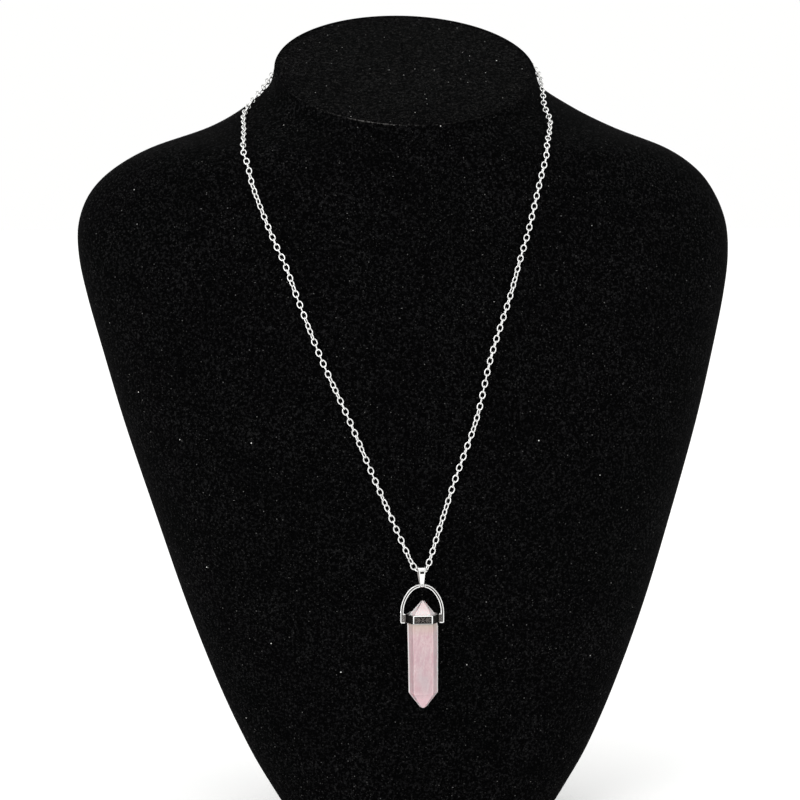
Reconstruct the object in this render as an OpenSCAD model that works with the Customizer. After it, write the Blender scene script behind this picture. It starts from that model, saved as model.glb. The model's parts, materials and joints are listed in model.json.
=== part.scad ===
// Hexagonal crystal point in a swinging stirrup, on a fine chain around a velvet neck bust.
// Millimetres. Z is up and -Y is the front. The origin is the middle of the bust's underside.

/* [Bust] */
// Height of the middle of the slanted neck top
bust_h = 234.5; // [200:1:300]
// Width across the shoulders
bust_w = 205; // [170:1:260]
// Reach of the chest in front of the base's middle
bust_front = 40; // [34:0.5:50]
// Reach of the neck's rear rim behind the base's middle
bust_back = 46.5; // [38:0.5:60]
// Slope of the neck top, in degrees
neck_slope = 30; // [20:1:34]

/* [Chain] */
// Thickness of the chain
chain_d = 1.5; // [1.2:0.1:2]
// Gap between the chain and the velvet
chain_gap = 0.5; // [0.4:0.1:1.5]
// Drop of the chain's lowest point below the fullest height of the chest
hang_drop = 41; // [33:0.5:60]
// Place of that point to the side of the base's middle
apex_x = -3; // [-10:0.5:10]
// Least gap between the chest and the crystal's upper point as it swings
swing_gap = 0.6; // [0.4:0.1:2]

/* [Clasp] */
// Length of the clasp, over both eyes
clasp_len = 10; // [8:0.5:14]
// Width of the clasp
clasp_w = 4.2; // [3.4:0.2:6]
// Thickness of the clasp
clasp_t = 1.5; // [1.2:0.1:2]
// Width of the opening along the clasp's middle
clasp_hole_w = 1.75; // [1.2:0.05:2.2]
// Radius of the eye at each end
clasp_eye_r = 1.1; // [0.9:0.05:1.4]
// Radius of the hole in each eye
clasp_eye_hole_r = 0.5; // [0.3:0.05:0.6]
// Gap between the clasp and each end of the chain
clasp_end_gap = 0.15; // [0.1:0.05:0.3]

/* [Bail] */
// Distance from the chain to the stirrup's crown pin
bail_len = 3.95; // [3.5:0.05:6]
// Width of the bail at the chain
bail_w_top = 2.3; // [1.8:0.1:3]
// Width of the bail at the crown pin
bail_w_low = 1.25; // [1:0.05:1.8]
// Thickness of the bail's strip
bail_t = 0.3; // [0.25:0.05:0.45]
// Play of the chain in the bail
bail_play = 0.3; // [0.2:0.05:0.5]
// Width of the dark slot across the front
slot_w = 1.25; // [0.6:0.05:1.4]
// Height of the slot
slot_h = 0.45; // [0.3:0.05:0.6]
// Drop from the chain's middle to the slot's lower edge
slot_drop = 0.5; // [0.3:0.05:0.8]
// Depth of the slot
slot_deep = 0.12; // [0.05:0.01:0.15]

/* [Stirrup] */
// Rise of the arch above its springing line
arch_rise = 8.55; // [8:0.05:10]
// Radius of the arch at its crown
crown_r = 5.3; // [4.8:0.1:5.8]
// Width of the arch's band, seen from the front
band_w = 1.12; // [0.9:0.02:1.4]
// Depth of the arch's band, front to back
band_d = 1.5; // [1.3:0.1:2]
// Width of each end pad
pad_w = 1.7; // [1.5:0.05:2]
// Height of each end pad
pad_h = 2.9; // [2.6:0.1:3.5]
// Depth of each end pad, front to back
pad_d = 2; // [1.9:0.1:2.6]
// Drop from the arch's springing line to the top of the pads
pad_drop = 0.35; // [0.2:0.05:0.6]
// Radius of the pads' corners
pad_corner_r = 0.35; // [0.2:0.05:0.5]
// Width of the raised rim around each pad
pad_rim_w = 0.3; // [0.2:0.02:0.4]
// Width of the raised rims along the band
rim_w = 0.36; // [0.25:0.01:0.4]
// Depth of the groove between the rims
groove_deep = 0.2; // [0.1:0.05:0.3]
// Radius of the necked pin at the crown
crown_pin_r = 0.38; // [0.3:0.01:0.42]
// Running gap around the crown pin
crown_pin_gap = 0.07; // [0.03:0.01:0.1]
// Rise of the arch's crown above the top of that pin
crown_over_pin = 0.07; // [0.05:0.01:0.15]
// Play of the bail's low end to each side, in the notch at the crown
notch_play = 0.2; // [0.1:0.05:0.3]

/* [Collar] */
// Height of the collar
collar_h = 2.75; // [2.4:0.05:3.5]
// Thickness of the collar's wall
collar_wall = 0.42; // [0.36:0.02:0.6]
// Thickness of the wall at the two side corners, which are filed flat
corner_wall = 0.28; // [0.2:0.02:0.4]
// Depth of the framed panels
panel_deep = 0.18; // [0.1:0.02:0.22]
// Width of the frame around each panel
frame_w = 0.38; // [0.3:0.02:0.5]
// Radius of the panels' corners
panel_corner_r = 0.2; // [0.1:0.05:0.3]
// Radius of the two side studs
stud_r = 0.5; // [0.4:0.05:0.6]
// Running gap around each stud
stud_gap = 0.06; // [0.03:0.01:0.1]
// Gap between each stud's end and the floor of its bore
stud_end_gap = 0.05; // [0.03:0.01:0.1]
// Thickness of the pad outside each bore
bore_floor = 0.25; // [0.2:0.01:0.4]
// Gap between the collar and each pad
side_gap = 0.08; // [0.05:0.01:0.2]

/* [Crystal] */
// Width over the side edges, at the upper shoulder
crystal_w = 9.2; // [8:0.1:10]
// Narrowing from the upper shoulder to the lower one
crystal_taper = 0.4; // [0:0.1:1.2]
// Width of the front facet
facet_w = 6.1; // [4.6:0.1:6.4]
// Thickness, front to back
crystal_d = 8.1; // [7:0.1:9]
// Length of the straight body, between the shoulders
body_len = 22.7; // [18:0.1:28]
// Height of the upper point
point_up = 4.9; // [4:0.1:5.4]
// Height of the lower point
point_low = 4.5; // [3.6:0.1:6]
// Width of the flat at the upper tip
tip_up_w = 0.65; // [0.4:0.05:1.5]
// Width of the flat at the lower tip
tip_low_w = 1.5; // [0.6:0.05:2.5]
// Height of the upper shoulder above the studs' axis
shoulder_up = 0.45; // [0:0.05:0.8]
// Glue gap between crystal and collar
glue_gap = 0.04; // [0.02:0.01:0.08]

/* [Hidden] */
$fn = 48;
eps = 0.01;

// Sections of the bust from the base to the neck top, as shares.
// Columns: height of bust_h, half width of bust_w / 2, reach to the front of bust_front,
// reach to the back of bust_back, depth of the widest place of bust_back,
// slope of neck_slope's tangent, place to the side of bust_w / 2.
SECTIONS = [
    [0.000, 0.390, 0.600, 0.516, 0.000, 0.00, 0.000],
    [0.040, 0.448, 0.620, 0.528, 0.000, 0.00, 0.000],
    [0.095, 0.521, 0.662, 0.538, 0.010, 0.00, 0.000],
    [0.180, 0.609, 0.735, 0.546, 0.022, 0.00, -0.003],
    [0.290, 0.704, 0.842, 0.552, 0.054, 0.00, -0.006],
    [0.415, 0.796, 0.955, 0.560, 0.097, 0.00, -0.011],
    [0.530, 0.877, 1.000, 0.570, 0.140, 0.00, -0.017],
    [0.627, 0.937, 0.940, 0.600, 0.194, 0.00, -0.022],
    [0.704, 0.981, 0.825, 0.655, 0.247, 0.00, -0.027],
    [0.755, 1.000, 0.720, 0.700, 0.280, 0.00, -0.031],
    [0.797, 0.996, 0.630, 0.742, 0.300, 0.00, -0.034],
    [0.836, 0.961, 0.543, 0.796, 0.314, 0.00, -0.034],
    [0.868, 0.897, 0.480, 0.840, 0.323, 0.03, -0.026],
    [0.896, 0.792, 0.435, 0.877, 0.329, 0.10, -0.016],
    [0.921, 0.630, 0.405, 0.916, 0.333, 0.27, -0.006],
    [0.945, 0.512, 0.390, 0.950, 0.333, 0.51, -0.014],
    [0.970, 0.425, 0.388, 0.978, 0.333, 0.75, -0.027],
    [1.000, 0.400, 0.388, 1.000, 0.333, 1.00, -0.031],
];
// Row of the chest's fullest height
CHEST_ROW = 6;
// Sides of the bust's rings, and rings for each row of the table
BUST_SIDES = 48;
RINGS_PER_ROW = 2;

// Route of the chain over the bust, from beside the clasp to where each strand leaves the chest.
// Columns: row of SECTIONS, and angle around the bust: 90 is the back, 180 the left and 270 the front.
LEFT_ROUTE = [
    [15.85, 113], [15.95, 126], [16.1, 139], [16.2, 150], [16.15, 160], [15.8, 171], [15.3, 181], [14.9, 192],
    [14.4, 206], [13.6, 221], [12.9, 230], [12.2, 235.5], [11.2, 240], [9.6, 245], [8.8, 247], [8.0, 248.5],
    [7.0, 251.5], [6.2, 255.5], [5.5, 259.5],
];
RIGHT_ROUTE = [
    [15.85, 73], [15.95, 60], [16.1, 48], [16.3, 34], [16.5, 19], [16.5, 4], [16.3, -9], [15.9, -20],
    [15.3, -32], [14.6, -45], [13.6, -57], [12.7, -62.5], [11.7, -66], [9.8, -70.5], [8.9, -72.5], [8.0, -74.5],
    [7.0, -78], [6.2, -80.5], [5.5, -84.5],
];
// Row and angle of the clasp on the back of the neck
CLASP_ROW = 15.8;
CLASP_ANGLE = 92;
// Hanging stretches, from the chest down to the middle of the bail.
// Columns: place to the side of the lowest point, and height above it.
LEFT_DROP = [[-6.3, 9.9], [-3.6, 3.3], [-2.7, 1.4], [-1.6, 0.1]];
RIGHT_DROP = [[4.6, 9.5], [3.0, 3.3], [2.5, 1.4], [1.6, 0.1]];
// Longest step and largest turn, in degrees, between two rings of the chain, and the sides of each ring
CHAIN_STEP = 12;
CHAIN_TURN = 14;
CHAIN_SIDES = 8;
// Spans shorter than this bend sharply at the bail, and get one more ring
SHORT_SPAN = 2;
// Sides of the arch's large circles
ARCH_SIDES = 96;
// Small steps for slopes: in rows, in degrees and in chain points
ROW_STEP = 0.02;
TURN_STEP = 1;
POINT_STEP = 0.05;

chain_r = chain_d / 2;
chain_lift = chain_r + chain_gap;
apex_z = SECTIONS[CHEST_ROW][0] * bust_h - hang_drop;
crown_pin_z = apex_z - bail_len;
crown_z = crown_pin_z + crown_pin_r + crown_over_pin;
spring_z = crown_z - arch_rise;
axis_z = spring_z - pad_drop - pad_h / 2;
side_wall_angle = atan2((crystal_w - facet_w) / 2, crystal_d / 2);
collar_side_x = crystal_w / 2 + glue_gap + corner_wall;
pad_in_x = collar_side_x + side_gap;
stirrup_r = pad_in_x + pad_w;
bore_r = stud_r + stud_gap;
bore_end_x = stirrup_r - bore_floor;
stud_tip_x = bore_end_x - stud_end_gap;

// Value of a smooth curve through rows p, at place s counted in rows
function curve(p, s) =
    let (
        n = len(p),
        i = min(floor(s), n - 2),
        t = s - i,
        a = p[max(i - 1, 0)],
        b = p[i],
        c = p[i + 1],
        d = p[min(i + 2, n - 1)]
    )
    (2 * b + (c - a) * t + (2 * a - 5 * b + 4 * c - d) * t * t + (3 * b - a - 3 * c + d) * t * t * t) / 2;

// Point of the bust's surface: row s of the table, angle a around it
function bust_point(s, a) =
    let (
        row = curve(SECTIONS, s),
        side = row[1] * bust_w / 2 * cos(a),
        middle = row[4] * bust_back,
        depth = sin(a) > 0 ? row[3] * bust_back - middle : middle + row[2] * bust_front,
        slope = row[5] * tan(neck_slope)
    )
    [row[6] * bust_w / 2 + side, middle + depth * sin(a), row[0] * bust_h + slope * depth * sin(a)];

function unit(v) = v / norm(v);

// Outward direction of the bust's surface there
function bust_normal(s, a) =
    unit(cross(
        bust_point(s, a + TURN_STEP) - bust_point(s, a - TURN_STEP),
        bust_point(s + ROW_STEP, a) - bust_point(s - ROW_STEP, a)
    ));

// Place and outward direction of the chain's middle line over the bust
function over_bust(route) = [
    for (r = route)
        let (out = bust_normal(r[0], r[1]), p = bust_point(r[0], r[1]) + chain_lift * out)
        [p.x, p.y, p.z, out.x, out.y, out.z]
];

clasp_turn = asin((clasp_len / 2 + clasp_end_gap) / (curve(SECTIONS, CLASP_ROW)[1] * bust_w / 2));
left_strand = over_bust(concat([[CLASP_ROW, CLASP_ANGLE + clasp_turn]], LEFT_ROUTE));
right_strand = over_bust(concat([[CLASP_ROW, CLASP_ANGLE - clasp_turn]], RIGHT_ROUTE));
chest_front = lookup(axis_z / bust_h, [for (row = SECTIONS) [row[0], row[2]]]) * bust_front;
swing_reach = norm([shoulder_up + point_up, tip_up_w / 2]);
hang_y = min(
    left_strand[len(left_strand) - 1].y,
    right_strand[len(right_strand) - 1].y,
    -(chest_front + swing_reach + swing_gap)
);

function hanging(drop) = [for (d = drop) [apex_x + d.x, hang_y, apex_z + d.y, 0, -1, 0]];

function reversed(list) = [for (i = [len(list) - 1:-1:0]) list[i]];

chain_points = concat(
    left_strand,
    hanging(LEFT_DROP),
    hanging([[0, 0]]),
    reversed(hanging(RIGHT_DROP)),
    reversed(right_strand)
);

function place(row) = [row[0], row[1], row[2]];
function facing(row) = [row[3], row[4], row[5]];

// Places of the chain's rings, counted in chain points
chain_stations = [
    for (i = [0:len(chain_points) - 2])
        let (
            span = norm(place(chain_points[i + 1]) - place(chain_points[i])),
            turn = acos(min(facing(chain_points[i]) * facing(chain_points[i + 1]), 1)),
            steps = max(ceil(span / CHAIN_STEP), ceil(turn / CHAIN_TURN), span < SHORT_SPAN ? 2 : 1)
        )
        for (k = [0:steps - 1]) i + k / steps,
    len(chain_points) - 1
];

// One ring of the chain's tube
function chain_ring(s) =
    let (
        last = len(chain_points) - 1,
        row = curve(chain_points, s),
        ahead = place(curve(chain_points, min(s + POINT_STEP, last))),
        behind = place(curve(chain_points, max(s - POINT_STEP, 0))),
        along = unit(ahead - behind),
        across = unit(cross(facing(row), along)),
        out = cross(along, across)
    )
    [for (k = [0:CHAIN_SIDES - 1])
        let (a = 360 * k / CHAIN_SIDES)
        place(row) + chain_r * (cos(a) * across + sin(a) * out)];

// Closed solid through rings of points, all with the same number of sides,
// each ring counter-clockwise seen from the last ring's end
module loft(rings) {
    n = len(rings[0]);
    m = len(rings);
    polyhedron(
        points = [for (ring = rings) for (p = ring) p],
        faces = concat(
            [[for (k = [0:n - 1]) k]],
            [for (i = [0:m - 2]) for (k = [0:n - 1])
                [i * n + k, (i + 1) * n + k, (i + 1) * n + (k + 1) % n, i * n + (k + 1) % n]],
            [[for (k = [n - 1:-1:0]) (m - 1) * n + k]]
        )
    );
}

module rounded_rect(w, h, r) {
    square([w, h - 2 * r], center = true);
    square([w - 2 * r, h], center = true);
    for (x = [-1, 1], y = [-1, 1]) translate([x * (w / 2 - r), y * (h / 2 - r)]) circle(r);
}

// Turns a flat outline drawn in X and Y into a slab seen from the front, its middle at y = 0
module front_slab(depth) {
    rotate([90, 0, 0]) linear_extrude(depth, center = true) children();
}

module bust() {
    rings = (len(SECTIONS) - 1) * RINGS_PER_ROW;
    color("#17171a")
        loft([for (i = [0:rings]) [for (k = [0:BUST_SIDES - 1])
            bust_point(i / RINGS_PER_ROW, 360 * k / BUST_SIDES)]]);
}

module chain() {
    color("silver") loft([for (s = chain_stations) chain_ring(s)]);
}

// Flat oval snap link with an eye at each end, lying on the back of the neck
module clasp() {
    out = bust_normal(CLASP_ROW, CLASP_ANGLE);
    eye_x = clasp_len / 2 - clasp_eye_r;
    oval_len = 2 * (eye_x - clasp_eye_hole_r);
    hole_len = oval_len - clasp_w + clasp_hole_w;
    color("silver")
        translate(bust_point(CLASP_ROW, CLASP_ANGLE) + (chain_gap + clasp_t / 2) * out)
            rotate([0, 0, atan2(out.y, out.x) - 90]) rotate([asin(out.z), 0, 0])
                front_slab(clasp_t) difference() {
                    union() {
                        rounded_rect(oval_len, clasp_w, clasp_w / 2 - eps);
                        for (x = [-1, 1]) translate([x * eye_x, 0]) circle(clasp_eye_r);
                    }
                    rounded_rect(hole_len, clasp_hole_w, clasp_hole_w / 2 - eps);
                    for (x = [-1, 1]) translate([x * eye_x, 0]) circle(clasp_eye_hole_r);
                }
}

// Outline of a belt around two round shafts, one above the other: low end at the origin
module belt(low_r, top_r, gap) {
    lean = asin((top_r - low_r) / gap);
    circle(low_r);
    translate([0, gap]) circle(top_r);
    polygon([
        [low_r * cos(lean), -low_r * sin(lean)],
        [top_r * cos(lean), gap - top_r * sin(lean)],
        [-top_r * cos(lean), gap - top_r * sin(lean)],
        [-low_r * cos(lean), -low_r * sin(lean)],
    ]);
}

// Folded strip around the chain and the crown pin, tapering downwards
module bail() {
    top_in = chain_r + bail_play;
    low_in = crown_pin_r + crown_pin_gap;
    low_z = -low_in - bail_t;
    top_z = bail_len + top_in + bail_t;
    front_y = -top_in - bail_t;
    color("silver") translate([apex_x, hang_y, crown_pin_z]) difference() {
        intersection() {
            rotate([90, 0, 90]) linear_extrude(2 * bail_w_top, center = true) difference() {
                belt(low_in + bail_t, top_in + bail_t, bail_len);
                belt(low_in, top_in, bail_len);
            }
            front_slab(4 * top_in) polygon([
                [-bail_w_low / 2, low_z - eps], [bail_w_low / 2, low_z - eps],
                [bail_w_top / 2, top_z + eps], [-bail_w_top / 2, top_z + eps],
            ]);
        }
        // dark slot across the front face
        translate([-slot_w / 2, front_y - eps, bail_len - slot_drop]) cube([slot_w, slot_deep + eps, slot_h]);
    }
}

// Area inside the arch, drawn a distance t within its outer line: two side arcs, a crown arc and the legs
module arch_area(t) {
    rise = arch_rise - crown_r;
    run = stirrup_r - crown_r;
    offset_x = (rise * rise - run * run) / (2 * run);
    side_r = stirrup_r + offset_x;
    join = atan2(rise, offset_x);
    intersection() {
        translate([offset_x, 0]) circle(side_r - t, $fn = ARCH_SIDES);
        translate([-offset_x, 0]) circle(side_r - t, $fn = ARCH_SIDES);
        translate([-stirrup_r, 0]) square([2 * stirrup_r, rise + (crown_r - t) * sin(join)]);
    }
    intersection() {
        translate([0, rise]) circle(crown_r - t, $fn = ARCH_SIDES);
        translate([-stirrup_r, rise / 2]) square([2 * stirrup_r, arch_rise]);
    }
    translate([-stirrup_r + t, axis_z - spring_z]) square([2 * (stirrup_r - t), spring_z - axis_z + eps]);
}

// Grooved arch with a pad at each end, a bore in each pad and a necked pin at the crown
module stirrup() {
    notch = bail_w_low + 2 * notch_play;
    pad_x = stirrup_r - pad_w / 2;
    pad_z = axis_z - spring_z;
    color("silver") translate([apex_x, hang_y, spring_z]) difference() {
        union() {
            difference() {
                front_slab(band_d) difference() {
                    arch_area(0);
                    arch_area(band_w);
                }
                for (side = [-1, 1]) translate([0, side * band_d / 2, 0]) front_slab(2 * groove_deep)
                    intersection() {
                        difference() {
                            arch_area(rim_w);
                            arch_area(band_w - rim_w);
                        }
                        translate([-stirrup_r, -pad_drop]) square([2 * stirrup_r, 2 * arch_rise]);
                    }
                translate([-notch / 2, -band_d, arch_rise - 2 * band_w]) cube([notch, 2 * band_d, 3 * band_w]);
            }
            translate([0, 0, crown_pin_z - spring_z]) rotate([0, 90, 0])
                cylinder(h = notch + 2 * crown_pin_r, r = crown_pin_r, center = true);
            for (side = [-1, 1]) translate([side * pad_x, 0, pad_z]) front_slab(pad_d)
                rounded_rect(pad_w, pad_h, pad_corner_r);
        }
        for (side = [-1, 1]) {
            translate([side * pad_in_x, 0, pad_z]) rotate([0, side * 90, 0]) translate([0, 0, -eps])
                cylinder(h = bore_end_x - pad_in_x + eps, r = bore_r);
            for (face = [-1, 1]) translate([side * pad_x, face * pad_d / 2, pad_z]) front_slab(2 * groove_deep)
                rounded_rect(pad_w - 2 * pad_rim_w, pad_h - 2 * pad_rim_w, panel_corner_r);
        }
    }
}

// Corners of the crystal's section, grown outwards by t
function section_points(w, t) =
    let (
        k = w / crystal_w,
        half_d = crystal_d / 2 * k,
        corner = w / 2 + t / cos(side_wall_angle),
        edge = corner - (w / 2 - facet_w / 2 * k) * (half_d + t) / half_d
    )
    [[-corner, 0], [-edge, -half_d - t], [edge, -half_d - t], [corner, 0], [edge, half_d + t], [-edge, half_d + t]];

// Double-ended point, grown outwards by t, its stud axis at the origin
module crystal_shape(t) {
    shoulder_low = shoulder_up - body_len;
    levels = [
        [shoulder_low - point_low - t, tip_low_w],
        [shoulder_low, crystal_w - crystal_taper],
        [shoulder_up, crystal_w],
        [shoulder_up + point_up + t, tip_up_w],
    ];
    loft([for (level = levels) [for (p = section_points(level[1], t)) [p.x, p.y, level[0]]]]);
}

module crystal() {
    color("#e3c4ca") translate([apex_x, hang_y, axis_z]) crystal_shape(0);
}

// Hexagonal band with a framed panel on each face and a stud at each side edge
module collar() {
    outer = section_points(crystal_w, collar_wall);
    front_w = outer[2].x - outer[1].x;
    side_w = norm(outer[3] - outer[2]);
    panel_h = collar_h - 2 * frame_w;
    color("silver") translate([apex_x, hang_y, axis_z]) difference() {
        union() {
            intersection() {
                linear_extrude(collar_h, center = true) polygon(outer);
                cube([2 * collar_side_x, crystal_d * 2, collar_h * 2], center = true);
            }
            rotate([0, 90, 0]) cylinder(h = 2 * stud_tip_x, r = stud_r, center = true);
        }
        crystal_shape(glue_gap);
        for (turn = [0, 180]) rotate(turn) {
            translate([0, -crystal_d / 2 - collar_wall, 0]) front_slab(2 * panel_deep)
                rounded_rect(front_w - 2 * frame_w, panel_h, panel_corner_r);
            for (side = [-1, 1]) translate([side * (outer[2].x + outer[3].x) / 2, outer[2].y / 2, 0])
                rotate(side * (90 - side_wall_angle)) front_slab(2 * panel_deep)
                    rounded_rect(side_w - 2 * frame_w - 2 * stud_r, panel_h, panel_corner_r);
        }
    }
}

bust();
chain();
clasp();
bail();
stirrup();
collar();
crystal();
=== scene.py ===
"""Crystal point pendant in a swinging stirrup, on a cable chain around a velvet neck bust.

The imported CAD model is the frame. Each piece here stands for one of its nodes, in the same place.
Shapes are worked out in millimetres and become meshes in metres.
Z is up and -Y is the front. The origin is the middle of the bust's underside.
"""

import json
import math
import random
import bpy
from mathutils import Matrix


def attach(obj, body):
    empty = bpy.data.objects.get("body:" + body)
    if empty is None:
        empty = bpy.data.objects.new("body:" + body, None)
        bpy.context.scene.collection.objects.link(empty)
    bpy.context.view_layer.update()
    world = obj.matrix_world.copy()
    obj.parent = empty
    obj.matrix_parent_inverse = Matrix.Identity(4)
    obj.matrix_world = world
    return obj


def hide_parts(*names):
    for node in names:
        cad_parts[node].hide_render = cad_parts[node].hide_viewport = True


bl_info = {
    "name": "Crystal Point Pendant",
    "version": (1, 0, 0),
    "blender": (4, 5, 0),
    "location": "3D View > Sidebar > Pendant",
    "description": "Builds a crystal point pendant on a cable chain and a velvet neck bust",
    "category": "Object",
}

import bmesh
import bpy
import numpy as np
from bpy.props import FloatProperty, FloatVectorProperty, IntProperty, PointerProperty
from bpy.types import Operator, Panel, PropertyGroup
from mathutils import Matrix, Vector

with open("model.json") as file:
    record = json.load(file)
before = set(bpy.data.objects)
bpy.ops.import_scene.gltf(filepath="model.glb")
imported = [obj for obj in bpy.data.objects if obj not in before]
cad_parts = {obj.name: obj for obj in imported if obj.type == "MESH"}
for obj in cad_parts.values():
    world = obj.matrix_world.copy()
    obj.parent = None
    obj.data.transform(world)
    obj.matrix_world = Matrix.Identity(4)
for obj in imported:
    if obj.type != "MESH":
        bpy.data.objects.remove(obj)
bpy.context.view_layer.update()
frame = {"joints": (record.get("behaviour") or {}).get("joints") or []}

MM = 0.001
JOINTS = {joint["name"]: [place / MM for place in joint["pos_m"]] for joint in frame["joints"]}
HANG_X, HANG_Y, APEX_Z = JOINTS["bail_swing"]
CROWN_PIN_Z = JOINTS["stirrup_swing"][2]
AXIS_Z = JOINTS["crystal_swing"][2]

# Sections of the bust from the base to the neck top, as shares.
# Columns: height, half width, reach to the front, reach to the back, depth of the widest place,
# slope, place to the side.
SECTIONS = np.array([
    [0.000, 0.390, 0.600, 0.516, 0.000, 0.00, 0.000],
    [0.040, 0.448, 0.620, 0.528, 0.000, 0.00, 0.000],
    [0.095, 0.521, 0.662, 0.538, 0.010, 0.00, 0.000],
    [0.180, 0.609, 0.735, 0.546, 0.022, 0.00, -0.003],
    [0.290, 0.704, 0.842, 0.552, 0.054, 0.00, -0.006],
    [0.415, 0.796, 0.955, 0.560, 0.097, 0.00, -0.011],
    [0.530, 0.877, 1.000, 0.570, 0.140, 0.00, -0.017],
    [0.627, 0.937, 0.940, 0.600, 0.194, 0.00, -0.022],
    [0.704, 0.981, 0.825, 0.655, 0.247, 0.00, -0.027],
    [0.755, 1.000, 0.720, 0.700, 0.280, 0.00, -0.031],
    [0.797, 0.996, 0.630, 0.742, 0.300, 0.00, -0.034],
    [0.836, 0.961, 0.543, 0.796, 0.314, 0.00, -0.034],
    [0.868, 0.897, 0.480, 0.840, 0.323, 0.03, -0.026],
    [0.896, 0.792, 0.435, 0.877, 0.329, 0.10, -0.016],
    [0.921, 0.630, 0.405, 0.916, 0.333, 0.27, -0.006],
    [0.945, 0.512, 0.390, 0.950, 0.333, 0.51, -0.014],
    [0.970, 0.425, 0.388, 0.978, 0.333, 0.75, -0.027],
    [1.000, 0.400, 0.388, 1.000, 0.333, 1.00, -0.031],
])
LAST_ROW = len(SECTIONS) - 1
RINGS_PER_ROW = 8
BUST_COLUMNS = 318
# The covering's join runs down the middle of the back.
BACK = 90
JOIN_GAP = 2.0
# Rows of SECTIONS below the neck's rim between which the join runs out
JOIN_FADE = (0.5, 0.1)
# Columns: place across the join and height of the velvet there, in millimetres
JOIN_PROFILE = [(-1.0, 0), (-0.6, 0.09), (-0.35, 0.06), (-0.15, -0.25), (0, -0.4),
                (0.15, -0.25), (0.35, 0.06), (0.6, 0.09), (1.0, 0)]
# Rolled edge of the neck top.
# Columns: distance inwards, height over the top's plane, distance down the wall, and how strong the painted
# highlight on the pile is
ROLL_PROFILE = [(0, 0, 0.9, 0), (-0.06, 0, 0.45, 0), (-0.12, 0, 0.1, 0.1), (-0.02, 0.14, 0, 0.5),
                (0.18, 0.24, 0, 1), (0.42, 0.22, 0, 1), (0.62, 0.05, 0, 0.5), (0.74, -0.12, 0, 0),
                (0.95, -0.08, 0, 0), (1.3, 0.04, 0, 0), (2.0, 0.12, 0, 0)]
# Painted highlight along the front of the rolled edge, towards the light at the left front: angle around the
# bust where it is strongest, how far that spreads, and how strong it is on the rest of the front
ROLL_HIGHLIGHT_ANGLE = 242
ROLL_HIGHLIGHT_SPREAD = 22
ROLL_HIGHLIGHT_REST = 0.3
# Painted light on the neck top, which faces up to the overhead light: how strong it is, and the distance
# inwards where it starts
CROWN_PAINTED_LIGHT = 0.12
CROWN_PAINTED_LIGHT_FROM = 0.6
# The neck top beyond the roll. Columns: share of the way to the middle, and height
CROWN_PROFILE = [(0.1, 0.2), (0.2, 0.3), (0.35, 0.42), (0.5, 0.52), (0.65, 0.58), (0.8, 0.62), (0.93, 0.63)]
# The underside. Columns: share of the way to the middle, and height
BASE_PROFILE = [(0.9, 0), (0.6, 0), (0.3, 0), (0.04, 0), (0.015, 0.12), (0.004, 0.4)]

# Route of the chain over the bust, from the clasp to where each strand leaves the chest.
# Columns: row of SECTIONS, and angle around the bust: 90 is the back, 180 the left and 270 the front.
LEFT_ROUTE = [
    [15.85, 113], [15.95, 126], [16.1, 139], [16.2, 150], [16.15, 160], [15.8, 171], [15.3, 181],
    [14.9, 192], [14.4, 206], [13.6, 221], [12.9, 230], [12.2, 235.5], [11.2, 240], [9.6, 245],
    [8.8, 247], [8.0, 248.5], [7.0, 251.5], [6.2, 255.5], [5.5, 259.5],
]
RIGHT_ROUTE = [
    [15.85, 73], [15.95, 60], [16.1, 48], [16.3, 34], [16.5, 19], [16.5, 4], [16.3, -9], [15.9, -20],
    [15.3, -32], [14.6, -45], [13.6, -57], [12.7, -62.5], [11.7, -66], [9.8, -70.5], [8.9, -72.5],
    [8.0, -74.5], [7.0, -78], [6.2, -80.5], [5.5, -84.5],
]
CLASP_ROW = 15.8
CLASP_ANGLE = 92
# Gap between the clasp and the neck
CLASP_GAP = 0.5
# Hanging stretches from the link in the bail up to the chest.
# Columns: place to the side of the chain's lowest point, and height above it.
LEFT_HANG = [[-2.25, 1.09], [-3.12, 2.65], [-3.95, 4.35], [-4.7, 6.1], [-6.38, 9.8]]
RIGHT_HANG = [[1.77, 2.2], [2.33, 3.95], [2.87, 5.6], [4.1, 9.66]]
# Middle of the link in the bail
BAIL_LINK = [0.3, 0.45]
# How far the link in the bail and the ones beside it are turned around the strand, in degrees:
# 0 faces outwards, 90 stands on edge.
BAIL_LINK_TURN = 112
NEXT_LINK_TURN = 62
# Twist of each strand. Columns: link counted from the bail, and twist in degrees
LEFT_TWIST = [
    [2, 0], [3, 35], [4, 50], [5, 65], [6, 72], [7, 82], [8, 90], [11, 95], [12, 110], [13, 128],
    [14, 145], [15, 160], [16, 172], [18, 180], [21, 185], [22, 200], [23.5, 225], [25, 255], [27, 265],
    [29, 270], [33, 285], [35, 305], [36, 330], [38, 350], [40, 360], [43, 365], [46.5, 405], [49, 445],
    [51, 450], [53, 460], [54.5, 490], [56, 520], [58, 535], [60, 540], [70, 575], [77, 625], [81, 635],
    [85, 675],
]
RIGHT_TWIST = [
    [2, 0], [3, 10], [5, 15], [8, 20], [10, 28], [12.5, 48], [15, 72], [17, 80], [21, 88], [24, 95],
    [26, 115], [28, 135], [30, 160], [34, 175], [38, 180], [48, 180], [50, 190], [53, 215], [55, 230],
    [57, 250], [60, 255], [63, 265], [67, 270], [81, 270], [83, 290], [86, 315],
]
# Links are also turned by up to this many degrees either way, at random.
LINK_WOBBLE = 4
CHAIN_SEED = 11
# Fine points of a strand's line between two points of its route
SPAN_POINTS = 40
# The links may come as close as this share of their pitch, so that a strand ends in a whole link.
CLOSEST_PITCH = 0.97
PITCH_TRIES = 40

# Steps around the bust, in degrees, and up it, in rows, for the direction of its surface
ANGLE_STEP = 1.0
ROW_STEP = 0.02


def size(name, description, millimetres):
    """Length property whose default is given in millimetres."""
    return FloatProperty(name=name, description=description, default=millimetres * MM, min=0.0, precision=5,
                         subtype="DISTANCE", unit="LENGTH")


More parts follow.
